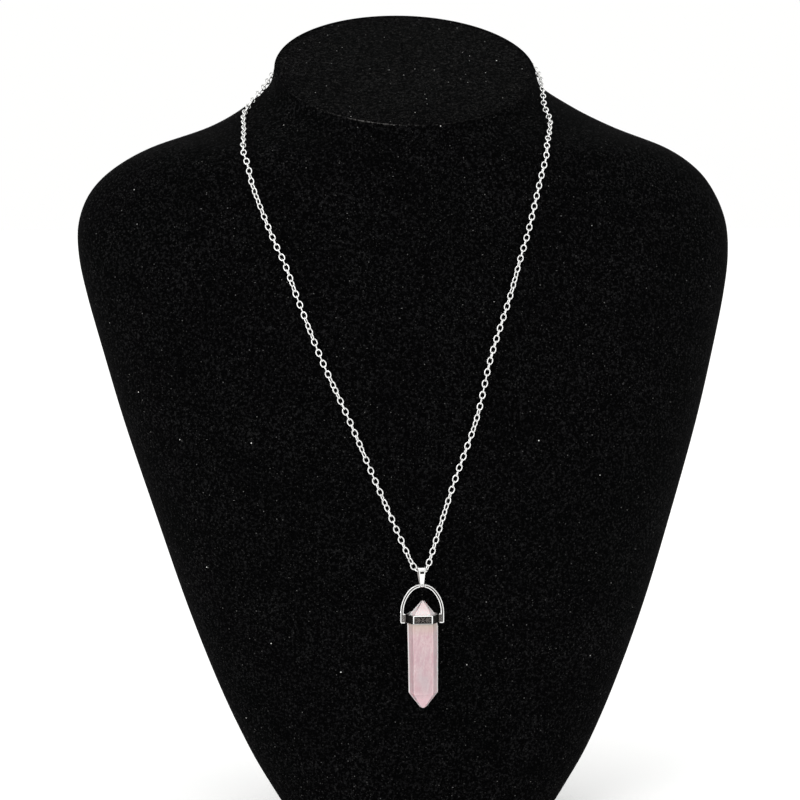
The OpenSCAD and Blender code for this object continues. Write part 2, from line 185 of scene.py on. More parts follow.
def tint(name, description, color):
    """Colour property."""
    return FloatVectorProperty(name=name, description=description, default=color, size=3, min=0.0, max=1.0,
                               subtype="COLOR")


def share(name, description, value):
    """Property between 0 and 1."""
    return FloatProperty(name=name, description=description, default=value, min=0.0, max=1.0,
                         subtype="FACTOR")


class PENDANT_PG_bust(PropertyGroup):
    """Velvet neck bust"""

    height: size("Height", "Height of the middle of the slanted neck top", 234.5)
    width: size("Width", "Width across the shoulders", 205)
    front: size("Front", "Reach of the chest in front of the base's middle", 40)
    back: size("Back", "Reach of the neck's rear rim behind the base's middle", 46.5)
    neck_slope: FloatProperty(name="Neck slope", description="Slope of the neck top",
                              default=math.radians(30), subtype="ANGLE", unit="ROTATION")
    pile_color: tint("Pile", "Colour of the velvet's pile", (0.0005, 0.0005, 0.0006))
    pile_light_color: tint("Brushed pile", "Colour of the pile where it leans to the light",
                           (0.014, 0.014, 0.0145))
    # Colour of the painted highlight along the front of the rolled edge and of the painted light on the neck
    # top
    painted_light_pile_color: tint("Pile with painted light", "Colour of the pile along the rolled edge", (0.16, 0.155, 0.148))
    lint_color: tint("Lint", "Colour of the specks of lint", (0.8, 0.79, 0.77))


class PENDANT_PG_chain(PropertyGroup):
    """Cable chain"""

    link_length: size("Link length", "Outer length of a link", 2.6)
    link_width: size("Link width", "Outer width of a link", 1.98)
    wire: size("Wire", "Thickness of the wire", 0.42)
    lift: size("Lift", "Height of the chain's middle line over the velvet", 1.05)


class PENDANT_PG_clasp(PropertyGroup):
    """Plain snap link behind the neck"""

    length: size("Length", "Length over both eyes", 10)
    width: size("Width", "Width", 4.2)
    thickness: size("Thickness", "Thickness", 1.5)
    edge: size("Edge", "Radius of the rounded edges", 0.3)


class PENDANT_PG_bail(PropertyGroup):
    """Folded bail"""

    width_top: size("Top width", "Width at the chain", 2.2)
    width_low: size("Low width", "Width at the crown pin", 0.92)
    thickness: size("Thickness", "Thickness of the strip", 0.3)
    loop: size("Loop", "Inner radius of the loop around the chain", 1.2)
    foot: size("Foot", "Inner radius of the foot around the crown pin", 0.45)


class PENDANT_PG_stirrup(PropertyGroup):
    """Grooved stirrup"""

    band_width: size("Band width", "Width of the arched band, seen from the front", 0.97)
    band_depth: size("Band depth", "Depth of the band, front to back", 1.5)
    rim: size("Rim", "Width of the raised rims", 0.34)
    pad_width: size("Pad width", "Width of each end pad", 1.7)
    pad_height: size("Pad height", "Height of each end pad", 2.9)
    pad_depth: size("Pad depth", "Depth of each end pad", 2.0)
    grains: IntProperty(name="Grains", description="Raised grains on each side of a pad", default=34, min=0)


class PENDANT_PG_collar(PropertyGroup):
    """Framed collar"""

    height: size("Height", "Height of the collar", 2.75)
    wall: size("Wall", "Thickness of the wall", 0.42)
    frame_width: size("Frame", "Width of the frame around each panel", 0.31)
    panel_depth: size("Panel depth", "Depth of the panels", 0.18)
    scroll_height: size("Scroll height", "Height of the scrollwork over the panel", 0.13)


class PENDANT_PG_crystal(PropertyGroup):
    """Double-ended crystal point"""

    width: size("Width", "Width over the side edges, at the upper shoulder", 9.2)
    taper: size("Taper", "Narrowing from the upper shoulder to the lower one", 0.3)
    facet: size("Facet", "Width of the front facet", 5.9)
    depth: size("Depth", "Thickness, front to back", 8.1)
    edge: size("Edge", "Reach of the ground edges from each corner", 0.2)
    pink_color: tint("Pink", "Colour of the clearer quartz", (0.49, 0.305, 0.340))
    milky_color: tint("Milky", "Colour of the milky streaks", (0.61, 0.49, 0.495))
    low_color: tint("Lower point", "Colour of the lower point", (0.72, 0.49, 0.53))
    warm_color: tint("Warm", "Colour just under the collar", (0.50, 0.415, 0.34))
    high_color: tint("Upper point", "Colour of the upper point", (0.66, 0.56, 0.56))
    smoky_color: tint("Smoky", "Colour of the greyer middle", (0.44, 0.38, 0.4))
    # Colour of the ground edges, partly a painted highlight along them, and of the painted light on the side
    # facets
    ground_edge_and_painted_light_color: tint("Ground edges", "Colour of the rubbed edges", (0.95, 0.91, 0.91))


class PENDANT_PG_metal(PropertyGroup):
    """Metal of the fittings"""

    silver_color: tint("Silver", "Colour of the polished metal", (0.90, 0.90, 0.89))
    dull_color: tint("Dull silver", "Colour where the polish is worn", (0.74, 0.74, 0.73))
    tarnish_color: tint("Tarnish", "Colour of half blackened places", (0.19, 0.17, 0.16))
    black_color: tint("Blackened", "Colour of the blackened recesses", (0.004, 0.0035, 0.003))
    roughness: share("Roughness", "Roughness of the polished metal", 0.16)


class PENDANT_PG_stage(PropertyGroup):
    """Floor, light and camera"""

    floor_color: tint("Floor", "Colour of the floor", (0.93, 0.93, 0.925))
    floor_glow: FloatProperty(name="Floor glow", description="Light that comes through the floor",
                              default=0.12, min=0.0)
    world_strength: FloatProperty(name="Surroundings", description="Brightness of the white surroundings",
                                  default=1.0, min=0.0)
    sun_strength: FloatProperty(name="Overhead light", description="Strength of the wide overhead light",
                                default=0.5, min=0.0)
    key_power: FloatProperty(name="Softbox", description="Power of the softbox at the upper left",
                             default=3.5, min=0.0, unit="POWER")


class PENDANT_PG_settings(PropertyGroup):
    """All sizes and colours"""

    bust: PointerProperty(type=PENDANT_PG_bust)
    chain: PointerProperty(type=PENDANT_PG_chain)
    clasp: PointerProperty(type=PENDANT_PG_clasp)
    bail: PointerProperty(type=PENDANT_PG_bail)
    stirrup: PointerProperty(type=PENDANT_PG_stirrup)
    collar: PointerProperty(type=PENDANT_PG_collar)
    crystal: PointerProperty(type=PENDANT_PG_crystal)
    metal: PointerProperty(type=PENDANT_PG_metal)
    stage: PointerProperty(type=PENDANT_PG_stage)


class Draft:
    """Points in millimetres, faces, finishes and the mask of wear, blackening and painted light of one piece,
    before it becomes a mesh.
    """

    def __init__(self):
        self.points = []
        self.wear_patina_and_painted_light = []
        self.faces = []
        self.finishes = []

    def add_points(self, points, wear_patina_and_painted_light=0.0):
        """Adds points that share one value of the mask of wear, blackening and painted light, or have one
        value each, and returns the first one's number.
        """
        first = len(self.points)
        self.points.extend(tuple(float(v) for v in point) for point in points)
        count = len(self.points) - first
        self.wear_patina_and_painted_light.extend([wear_patina_and_painted_light] * count if np.isscalar(wear_patina_and_painted_light) else [float(v) for v in wear_patina_and_painted_light])
        return first

    def add_face(self, corners, finish=0):
        self.faces.append(tuple(corners))
        self.finishes.append(finish)

    def join_rings(self, first, second, count, finish=0):
        """Quads between two rings of count points."""
        for k in range(count):
            after = (k + 1) % count
            self.add_face((first + k, first + after, second + after, second + k), finish)

    def skin(self, rings, wear_patina_and_painted_light=None, looped=False, capped=True, finish=0):
        """Closed skin through rings that all have the same number of points."""
        count = len(rings[0])
        if wear_patina_and_painted_light is None:
            wear_patina_and_painted_light = [0.0] * len(rings)
        starts = [self.add_points(ring, amount) for ring, amount in zip(rings, wear_patina_and_painted_light)]
        for first, second in zip(starts, starts[1:] + ([starts[0]] if looped else [])):
            self.join_rings(first, second, count, finish)
        if capped and not looped:
            self.add_face(range(starts[0] + count - 1, starts[0] - 1, -1), finish)
            self.add_face(range(starts[-1], starts[-1] + count), finish)
        return starts

    def to_mesh(self, name, sharp_angle):
        """Mesh in metres, with edges sharper than an angle in degrees kept sharp."""
        mesh = bpy.data.meshes.new(name)
        mesh.from_pydata([[v * MM for v in point] for point in self.points], [], self.faces)
        mesh.polygons.foreach_set("material_index", self.finishes)
        wear_patina_and_painted_light = mesh.attributes.new("wear_patina_and_painted_light", "FLOAT", "POINT")
        wear_patina_and_painted_light.data.foreach_set("value", self.wear_patina_and_painted_light)
        point_outwards(mesh)
        smooth(mesh, sharp_angle)
        return mesh


def point_outwards(mesh):
    """Turns every face of closed shells outwards."""
    shells = bmesh.new()
    shells.from_mesh(mesh)
    bmesh.ops.recalc_face_normals(shells, faces=shells.faces)
    shells.to_mesh(mesh)
    shells.free()


def smooth(mesh, sharp_angle):
    """Shades a mesh smooth, with edges sharper than an angle in degrees kept sharp."""
    mesh.polygons.foreach_set("use_smooth", [True] * len(mesh.polygons))
    mesh.set_sharp_from_angle(angle=math.radians(sharp_angle))
    mesh.update()


def add_piece(name, mesh, materials, body, node):
    """Links a mesh as the piece that stands for a CAD node."""
    for material in materials:
        mesh.materials.append(material)
    piece = bpy.data.objects.new(name, mesh)
    bpy.context.scene.collection.objects.link(piece)
    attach(piece, body)
    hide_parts(node)
    return piece


def cut(mesh, cutter_mesh):
    """Takes one closed mesh out of another."""
    scene = bpy.context.scene
    whole = bpy.data.objects.new("whole", mesh)
    cutter = bpy.data.objects.new("cutter", cutter_mesh)
    scene.collection.objects.link(whole)
    scene.collection.objects.link(cutter)
    boolean = whole.modifiers.new("cut", "BOOLEAN")
    boolean.operation = "DIFFERENCE"
    boolean.solver = "EXACT"
    boolean.object = cutter
    result = bpy.data.meshes.new_from_object(whole.evaluated_get(bpy.context.evaluated_depsgraph_get()))
    bpy.data.objects.remove(whole)
    bpy.data.objects.remove(cutter)
    bpy.data.meshes.remove(cutter_mesh)
    if not result.polygons:
        raise RuntimeError("the cut left nothing")
    return result


def merged(name, meshes):
    """One mesh from several."""
    joined = bmesh.new()
    for mesh in meshes:
        joined.from_mesh(mesh)
    mesh = bpy.data.meshes.new(name)
    joined.to_mesh(mesh)
    joined.free()
    return mesh


def lathe(profile, sides):
    """Rings around the X axis, from rows of place along it and radius."""
    turns = [2 * math.pi * k / sides for k in range(sides)]
    return [[(x, r * math.cos(turn), r * math.sin(turn)) for turn in turns] for x, r in profile]


def moved(rings, offset):
    """Rings moved by an offset."""
    return [[tuple(a + b for a, b in zip(point, offset)) for point in ring] for ring in rings]


def unit(vectors):
    """Vectors of length 1."""
    return vectors / np.linalg.norm(vectors, axis=-1, keepdims=True)


def smoothstep(value, low, high):
    """Smooth rise from 0 to 1 between two limits."""
    t = np.clip((value - low) / (high - low), 0, 1)
    return t * t * (3 - 2 * t)


def curve(rows, s):
    """Values of a smooth curve through rows, at places s counted in rows."""
    rows = np.asarray(rows, float)
    s = np.atleast_1d(np.asarray(s, float))
    last = len(rows) - 1
    i = np.minimum(np.floor(s).astype(int), last - 1)
    t = (s - i)[:, None]
    a, b, c, d = rows[np.maximum(i - 1, 0)], rows[i], rows[i + 1], rows[np.minimum(i + 2, last)]
    return (2 * b + (c - a) * t + (2 * a - 5 * b + 4 * c - d) * t**2 + (3 * b - a - 3 * c + d) * t**3) / 2


def bust_points(bust, s, degrees):
    """Points of the bust's surface: rows s, angles around it."""
    row = curve(SECTIONS, s)
    turn = np.radians(np.atleast_1d(degrees))
    half_width, front, back = bust.width / MM / 2, bust.front / MM, bust.back / MM
    middle = row[:, 4] * back
    depth = np.where(np.sin(turn) > 0, row[:, 3] * back - middle, middle + row[:, 2] * front) * np.sin(turn)
    side = row[:, 6] * half_width + row[:, 1] * half_width * np.cos(turn)
    height = row[:, 0] * bust.height / MM + row[:, 5] * math.tan(bust.neck_slope) * depth
    return np.stack([side, middle + depth, height], 1)


def bust_normals(bust, s, degrees):
    """Outward directions of the bust's surface: rows s, angles around it."""
    s = np.atleast_1d(np.asarray(s, float))
    degrees = np.atleast_1d(np.asarray(degrees, float))
    around = bust_points(bust, s, degrees + ANGLE_STEP) - bust_points(bust, s, degrees - ANGLE_STEP)
    above = np.minimum(s + ROW_STEP, LAST_ROW)
    below = np.maximum(s - ROW_STEP, 0)
    return unit(np.cross(around, bust_points(bust, above, degrees) - bust_points(bust, below, degrees)))


def bust_ring(bust, s):
    """One ring of the velvet, with the covering's join in the middle of the back, up to the rolled edge."""
    ring = np.full(len(JOIN_PROFILE) + BUST_COLUMNS, float(s))
    half_width = curve(SECTIONS, s)[0, 1] * bust.width / MM / 2
    join = [BACK + math.degrees(place / half_width) for place, _ in reversed(JOIN_PROFILE)]
    rest = np.linspace(BACK + JOIN_GAP, BACK + 360 - JOIN_GAP, BUST_COLUMNS)
    angles = np.concatenate([join, rest])
    lift = np.zeros(len(angles))
    shallow = 1 - float(smoothstep(s, LAST_ROW - JOIN_FADE[0], LAST_ROW - JOIN_FADE[1]))
    lift[:len(join)] = [height * shallow for _, height in reversed(JOIN_PROFILE)]
    return bust_points(bust, ring, angles) + bust_normals(bust, ring, angles) * lift[:, None]


def velvet_mesh(bust):
    """Closed velvet shell: underside, body with its join, rolled neck edge and neck top."""
    draft = Draft()
    rings = []
    wear_and_light_rows = []
    # Underside
    first = bust_ring(bust, 0)
    base_middle = first.mean(axis=0)
    for inwards, height in BASE_PROFILE:
        rings.append(first + (base_middle - first) * inwards + np.array([0, 0, height]))
        wear_and_light_rows.append(0.0)
    # Body, up to half a row below the neck's rim
    stations = np.arange(1, (LAST_ROW - 1) * RINGS_PER_ROW + RINGS_PER_ROW // 2) / RINGS_PER_ROW
    for s in stations:
        rings.append(bust_ring(bust, s))
        wear_and_light_rows.append(0.0)
    # Rolled edge, with a painted highlight along its front
    rim = bust_ring(bust, LAST_ROW)
    up_wall = unit(rim - bust_ring(bust, LAST_ROW - 0.2))
    top_middle = rim.mean(axis=0)
    top_normal = np.array([0, -math.sin(bust.neck_slope), math.cos(bust.neck_slope)])
    inwards = unit(top_middle - rim)
    around = np.degrees(np.arctan2(-inwards[:, 1], -inwards[:, 0])) % 360
    in_front = np.maximum(inwards[:, 1], 0) ** 0.8
    most = np.exp(-((around - ROLL_HIGHLIGHT_ANGLE) / ROLL_HIGHLIGHT_SPREAD) ** 2)
    wear_patina_and_painted_light = in_front * (ROLL_HIGHLIGHT_REST + (1 - ROLL_HIGHLIGHT_REST) * most)
    # The last column of the roll's profile is the strength of the painted highlight at each ring
    for inset, height, down, rub in ROLL_PROFILE:
        rings.append(rim + inwards * inset + top_normal * height - up_wall * down)
        wear_and_light_rows.append(np.maximum(rub * wear_patina_and_painted_light, CROWN_PAINTED_LIGHT if inset > CROWN_PAINTED_LIGHT_FROM else 0))
    # Neck top, lightened all over as painted light
    rolled = rings[-1]
    for inset, height in CROWN_PROFILE:
        rings.append(rolled + (top_middle - rolled) * inset + top_normal * (height - ROLL_PROFILE[-1][1]))
        wear_and_light_rows.append(CROWN_PAINTED_LIGHT)
    draft.skin(rings, wear_and_light_rows)
    return draft.to_mesh("velvet_bust", 180)


def clasp_frame(settings):
    """Middle, direction across and outward direction of the clasp."""
    bust = settings.bust
    out = bust_normals(bust, CLASP_ROW, CLASP_ANGLE)[0]
    lift = CLASP_GAP + settings.clasp.thickness / MM / 2
    middle = bust_points(bust, np.array([CLASP_ROW]), CLASP_ANGLE)[0] + lift * out
    turn = math.atan2(out[1], out[0]) - math.pi / 2
    return middle, np.array([math.cos(turn), math.sin(turn), 0.0]), out


def strand(settings, side):
    """Points and outward directions of one strand's line, from the link in the bail to the clasp's eye."""
    bust = settings.bust
    chain = settings.chain
    route = LEFT_ROUTE if side < 0 else RIGHT_ROUTE
    hang = LEFT_HANG if side < 0 else RIGHT_HANG
    rows = np.array([row for row, _ in reversed(route)], float)
    degrees = np.array([angle for _, angle in reversed(route)], float)
    out = bust_normals(bust, rows, degrees)
    over_bust = np.hstack([bust_points(bust, rows, degrees) + out * chain.lift / MM, out])
    joint_reach = link_pitch(chain) / 2
    start = [BAIL_LINK[0] + side * joint_reach, BAIL_LINK[1]]
    hanging = [[HANG_X + x, HANG_Y, APEX_Z + z, 0, -1, 0] for x, z in [start] + hang]
    middle, across, out = clasp_frame(settings)
    eye = settings.clasp.length / MM / 2 - CLASP_EYE_R + CLASP_EYE_HOLE_R
    end = np.concatenate([middle + across * side * eye, out])
    points = np.vstack([hanging, over_bust, [end]])
    places = np.linspace(0, len(points) - 1, (len(points) - 1) * SPAN_POINTS + 1)
    line = curve(points, places)
    line[:, 3:] = unit(line[:, 3:])
    return line


def link_pitch(chain):
    """Distance between the joints of a link, when the wires touch."""
    return (chain.link_length - 2 * chain.wire) / MM


def walk(line, pitch):
    """Joints at equal distances along a line, and what is left at its end."""
    joints = [line[0]]
    for before, after in zip(line, line[1:]):
        gap = np.linalg.norm(after[:3] - joints[-1][:3])
        if gap >= pitch:
            held = np.linalg.norm(before[:3] - joints[-1][:3])
            joints.append(before + (after - before) * (pitch - held) / (gap - held))
    return np.array(joints), np.linalg.norm(line[-1][:3] - joints[-1][:3])


def even_joints(line, pitch):
    """Joints that end exactly at the line's end, a touch closer than pitch."""
    count = len(walk(line, pitch)[0])
    low, high = pitch * CLOSEST_PITCH, pitch
    for _ in range(PITCH_TRIES):
        middle = (low + high) / 2
        if len(walk(line, middle)[0]) > count:
            low = middle
        else:
            high = middle
    return walk(line, low)[0]


def twist(link, table):
    """Twist of a strand at a link, in degrees."""
    links, degrees = zip(*table)
    return float(np.interp(link, links, degrees))


# Steps around a link, and sides of its wire
LINK_STEPS = 28
WIRE_SIDES = 10


def link_points(chain):
    """Points of one oval link lying in X and Y, long along X."""
    wire = chain.wire / MM / 2
    half_length = chain.link_length / MM / 2 - wire
    half_width = chain.link_width / MM / 2 - wire
    points = []
    for i in range(LINK_STEPS):
        turn = 2 * math.pi * i / LINK_STEPS
        middle = np.array([half_length * math.cos(turn), half_width * math.sin(turn), 0])
        away = unit(np.array([math.cos(turn) / half_length, math.sin(turn) / half_width, 0]))
        for k in range(WIRE_SIDES):
            roll = 2 * math.pi * k / WIRE_SIDES
            points.append(middle + wire * (away * math.cos(roll) + np.array([0, 0, math.sin(roll)])))
    return np.array(points)


def link_frames(settings):
    """Middle, direction and turned width direction of every link."""
    pitch = link_pitch(settings.chain)
    rng = random.Random(CHAIN_SEED)
    frames = []

    def add(middle, along, out, degrees):
        across = unit(np.cross(out, along))
        out = np.cross(along, across)
        turn = math.radians(degrees)
        frames.append((middle, along, across * math.cos(turn) + out * math.sin(turn)))

    add(np.array([HANG_X + BAIL_LINK[0], HANG_Y, APEX_Z + BAIL_LINK[1]]), np.array([1.0, 0, 0]),
        np.array([0, -1.0, 0]), BAIL_LINK_TURN)
    for side, table in ((-1, LEFT_TWIST), (1, RIGHT_TWIST)):
        joints = even_joints(strand(settings, side), pitch)
        count = len(joints) - 1
        # The last link stands on edge in the clasp's eye.
        correction = (90 - 90 * (count % 2) - twist(count, table)) % 180
        for i in range(1, count + 1):
            near, far = joints[i - 1], joints[i]
            if i == 1:
                degrees = NEXT_LINK_TURN
            else:
                degrees = 90 * (i % 2) + twist(i, table) + rng.uniform(-LINK_WOBBLE, LINK_WOBBLE)
            degrees += correction * float(smoothstep(i, table[-1][0], count - 2))
            add((near[:3] + far[:3]) / 2, unit(far[:3] - near[:3]), unit(near[3:] + far[3:]), degrees)
    return frames


def chain_mesh(settings):
    """All links of the chain, each a closed ring of round wire."""
    base = link_points(settings.chain)
    frames = link_frames(settings)
    points = []
    for middle, along, width in frames:
        points.append(middle + base @ np.array([along, width, np.cross(along, width)]))
    link_faces = []
    for i in range(LINK_STEPS):
        for k in range(WIRE_SIDES):
            here, ahead = i * WIRE_SIDES, (i + 1) % LINK_STEPS * WIRE_SIDES
            after = (k + 1) % WIRE_SIDES
            link_faces.append((here + k, ahead + k, ahead + after, here + after))
    firsts = np.arange(len(frames)) * len(base)
    faces = (np.array(link_faces)[None] + firsts[:, None, None]).reshape(-1, 4)
    draft = Draft()
    draft.add_points(np.vstack(points))
    draft.faces = [tuple(int(v) for v in face) for face in faces]
    draft.finishes = [0] * len(draft.faces)
    return draft.to_mesh("cable_chain", 180)


# Radii of the clasp's eyes and their holes, and width of its long hole
CLASP_EYE_R = 1.1
CLASP_EYE_HOLE_R = 0.5
CLASP_HOLE_W = 1.75
OUTLINE_POINTS = 120
HOLE_POINTS = 60
EYE_POINTS = 30


def stadium(half_length, radius, direction):
    """Distance from the middle to a stadium's edge, along a direction in degrees."""
    turn = math.radians(direction)
    x, y = abs(math.cos(turn)), abs(math.sin(turn))
    reach = half_length - radius
    if y > 0 and radius * x / y <= reach:
        return radius / y
    return reach * x + math.sqrt(radius**2 - (reach * y) ** 2)


def clasp_mesh(settings):
    """Flat oval link with an eye at each end and rounded edges."""
    clasp = settings.clasp
    eye_x = clasp.length / MM / 2 - CLASP_EYE_R
    oval = eye_x - CLASP_EYE_HOLE_R
    half_width = clasp.width / MM / 2
    outer = []
    for i in range(OUTLINE_POINTS):
        direction = 360 * (i + 0.5) / OUTLINE_POINTS
        turn = math.radians(direction)
        reach = stadium(oval, half_width, direction)
        off = abs(math.sin(turn)) * eye_x
        if off < CLASP_EYE_R:
            eye = abs(math.cos(turn)) * eye_x + math.sqrt(CLASP_EYE_R**2 - off**2)
            reach = max(reach, eye)
        outer.append((reach * math.cos(turn), reach * math.sin(turn)))
    hole_half = oval - half_width + CLASP_HOLE_W / 2
    hole = []
    for i in range(HOLE_POINTS):
        direction = -360 * i / HOLE_POINTS
        turn = math.radians(direction)
        reach = stadium(hole_half, CLASP_HOLE_W / 2, direction)
        hole.append((reach * math.cos(turn), reach * math.sin(turn)))
    turns = [-2 * math.pi * i / EYE_POINTS for i in range(EYE_POINTS)]
    eyes = [[(side * eye_x + CLASP_EYE_HOLE_R * math.cos(turn), CLASP_EYE_HOLE_R * math.sin(turn))
             for turn in turns] for side in (-1, 1)]
    plate = bpy.data.curves.new("clasp_plate", "CURVE")
    plate.dimensions = "2D"
    plate.fill_mode = "BOTH"
    plate.extrude = clasp.thickness / 2 - clasp.edge
    plate.bevel_depth = clasp.edge
    plate.bevel_resolution = 3
    plate.offset = -clasp.edge
    for outline in [outer, hole] + eyes:
        spline = plate.splines.new("POLY")
        spline.points.add(len(outline) - 1)
        spline.use_cyclic_u = True
        for point, (x, y) in zip(spline.points, outline):
            point.co = (x * MM, y * MM, 0, 1)
    holder = bpy.data.objects.new("clasp_plate", plate)
    bpy.context.scene.collection.objects.link(holder)
    mesh = bpy.data.meshes.new_from_object(holder.evaluated_get(bpy.context.evaluated_depsgraph_get()))
    bpy.data.objects.remove(holder)
    shell = bmesh.new()
    shell.from_mesh(mesh)
    bmesh.ops.remove_doubles(shell, verts=shell.verts, dist=1e-6)
    bmesh.ops.recalc_face_normals(shell, faces=shell.faces)
    middle, across, out = clasp_frame(settings)
    up = np.cross(across, out)
    place = Matrix((across, up, -out)).transposed().to_4x4()
    place.translation = Vector(middle * MM)
    bmesh.ops.transform(shell, matrix=place, verts=shell.verts)
    shell.to_mesh(mesh)
    shell.free()
    smooth(mesh, 40)
    return mesh


BAIL_LEN = APEX_Z - CROWN_PIN_Z
BAIL_TURN = 7
# The bail hangs to the left of the pin's middle and leans a little.
BAIL_SIDE = -0.2
BAIL_LEAN = -0.15
# The loop is a little higher than it is deep.
BAIL_STRETCH = 1.2
# Dark slot across the front: its width, height, lower edge under the loop's middle, and depth
BAIL_SLOT_W = 1.2
BAIL_SLOT_H = 0.64
BAIL_SLOT_DROP = 0.32
BAIL_SLOT_DEEP = 0.2
# The strip has a raised rib along each edge: its height and width, and the width of slanted walls.
BAIL_RIB = 0.05
BAIL_RIB_W = 0.24
BAIL_WALL = 0.03
# Groove across the front leg above the foot, darkened as a painted reflection of the black velvet where the
# strip curves: its lower and upper edge over the pin
FOOT_GROOVE = [0.04, 0.34]
FOOT_GROOVE_DEEP = 0.07
FOOT_GROOVE_PAINTED_REFLECTION = 0.7
# The strip starts to be darker behind the middle of its fold and is fully so a little further back.
REAR_DARKENING = 0.44
REAR_FROM = (0.2, 0.5)
# Heights over the pin where the front leg has a section of its own, and half the height of a step in it
LEG_LEVELS = [0.9, 1.5, 2.3, 3.0]
LEG_STEP = 0.012
LOOP_STEPS = 32
FOOT_STEPS = 20


def bail_section(width, skin, deep, black, half_gap):
    """Section of the strip: place across, height from its middle line and blackening.

    skin is half the strip's thickness. A slot or groove of a depth runs half_gap to each side of the middle.
    """
    edge = width / 2
    rib_edge = edge - BAIL_RIB_W
    step = min(half_gap, rib_edge - 0.02)
    face = skin - BAIL_RIB
    floor = face - deep
    outer_half = [(edge, skin - 0.08, 0), (edge - 0.02, skin - 0.03, 0), (edge - 0.07, skin, 0),
                  (edge - 0.2, skin, 0), (rib_edge, face, 0), (step + BAIL_WALL / 2, face, 0),
                  (step - BAIL_WALL / 2, floor, black), (step * 0.5, floor, black)]
    outer = outer_half + [(0, floor, black)] + [(-x, v, b) for x, v, b in reversed(outer_half)]
    inner_half = [(-edge, 0.06 - skin, 0), (-edge + 0.06, -skin, 0)]
    return outer + inner_half + [(0, -skin, 0)] + [(-x, v, b) for x, v, b in reversed(inner_half)]


def bail_stations(top_r, low_r):
    """Middle line of the folded strip around the chain and the crown pin.

    Rows: place, front to back, height over the pin, and outward direction.
    """
    lean = math.asin((top_r - low_r) / BAIL_LEN)
    slot_low = BAIL_LEN - BAIL_SLOT_DROP
    stations = []
    # Over the top, from the front leg to the rear leg
    for i in range(LOOP_STEPS + 1):
        turn = math.pi + lean - (math.pi + 2 * lean) * i / LOOP_STEPS
        stretch = BAIL_STRETCH if math.sin(turn) > 0 else 1
        out = unit(np.array([math.cos(turn) * stretch, math.sin(turn)]))
        stations.append((top_r * math.cos(turn), BAIL_LEN + top_r * stretch * math.sin(turn), *out))
    # Rear leg, between the heights where the loop and the foot end
    high_y, high_z = top_r * math.cos(lean), BAIL_LEN - top_r * math.sin(lean)
    low_y, low_z = low_r * math.cos(lean), -low_r * math.sin(lean)
    for down in (0.25, 0.5, 0.75):
        stations.append((high_y + (low_y - high_y) * down, high_z + (low_z - high_z) * down,
                         math.cos(lean), -math.sin(lean)))
    # Around the crown pin
    for i in range(FOOT_STEPS + 1):
        turn = -lean - (math.pi - 2 * lean) * i / FOOT_STEPS
        stations.append((low_r * math.cos(turn), low_r * math.sin(turn), math.cos(turn), math.sin(turn)))
    # Front leg, with both sides of each step in it
    steps = [level + side * LEG_STEP for level in (slot_low, *FOOT_GROOVE) for side in (-1, 1)]
    for level in sorted(steps + LEG_LEVELS + [slot_low - 0.3]):
        up = (level - low_z) / (high_z - low_z)
        stations.append((-(low_y + (high_y - low_y) * up), level, -math.cos(lean), -math.sin(lean)))
    return stations


def bail_mesh(bail):
    """Folded strip around the chain and the crown pin."""
    skin = bail.thickness / MM / 2
    top_r = bail.loop / MM + skin
    low_r = bail.foot / MM + skin
    width_top, width_low = bail.width_top / MM, bail.width_low / MM
    slot_low = BAIL_LEN - BAIL_SLOT_DROP
    turn = math.radians(BAIL_TURN)
    draft = Draft()
    rings, blacks = [], []
    for y, z, out_y, out_z in bail_stations(top_r, low_r):
        width = width_low + (width_top - width_low) * (z + low_r) / (BAIL_LEN + top_r + low_r)
        if y < 0 and slot_low < z < slot_low + BAIL_SLOT_H:
            section = bail_section(width, skin, BAIL_SLOT_DEEP, 1.0, BAIL_SLOT_W / 2)
        # The foot groove's dark band is a painted reflection.
        elif y < 0 and FOOT_GROOVE[0] < z < FOOT_GROOVE[1]:
            section = bail_section(width, skin, FOOT_GROOVE_DEEP, FOOT_GROOVE_PAINTED_REFLECTION, width)
        else:
            section = bail_section(width, skin, 0.0, 0.0, width)
        ring = []
        for x, v, _ in section:
            px, py, pz = x + BAIL_LEAN * z / BAIL_LEN, y + out_y * v, z + out_z * v
            ring.append((HANG_X + BAIL_SIDE + px * math.cos(turn) - py * math.sin(turn),
                         HANG_Y + px * math.sin(turn) + py * math.cos(turn), CROWN_PIN_Z + pz))
        rings.append(ring)
        rear_darkening = REAR_DARKENING * float(smoothstep(y, *REAR_FROM))
        blacks.append([max(b, rear_darkening) for _, _, b in section])
    draft.skin(rings, blacks, looped=True)
    return draft.to_mesh("folded_bail", 50)


# The arch: its rise over the springing line, the radius of its crown and half its width
ARCH_RISE = 8.55
CROWN_R = 5.3
STIRRUP_R = 6.58
# The stirrup hangs a little to the left of the crystal.
STIRRUP_SIDE = -0.09
# The pads: their tops under the springing line, inner edges, corner radii and the depth of their floors
PAD_DROP = 0.35
PAD_IN_X = 5.0
PAD_CORNER = 0.42
PAD_INNER_CORNER = 0.3
PAD_FLOOR = 0.2
# Points of the leg under the springing line, and height over it where the pad's depth has run out
LEG_LOW = 0.18
LEG_BLEND = 0.9
SPRING_Z = AXIS_Z + PAD_DROP + 1.45
# Edges of the band and pads, out to the outline. Columns: distance inwards, and depth under the rim
RIM_EDGE = [(0.1, 0.0), (0.03, 0.03), (0.0, 0.1)]
# Heights over the springing line between which the groove gets brighter, and how black it is below and above
GROOVE_FADE = (7.2, 8.2)
GROOVE_BLACK = 0.86
GROOVE_CROWN_BLACK = 0.51
# How dull the pads' inner edges are
PAD_EDGE_DULL = 0.8
# Width of the notch in the crown, and radius and dullness of the pin across it
NOTCH = 1.4
CROWN_PIN_R = 0.38
PIN_DULL = 0.45
# Bores for the studs: radius, and how far out they reach
BORE_R = 0.56
BORE_END_X = 6.45
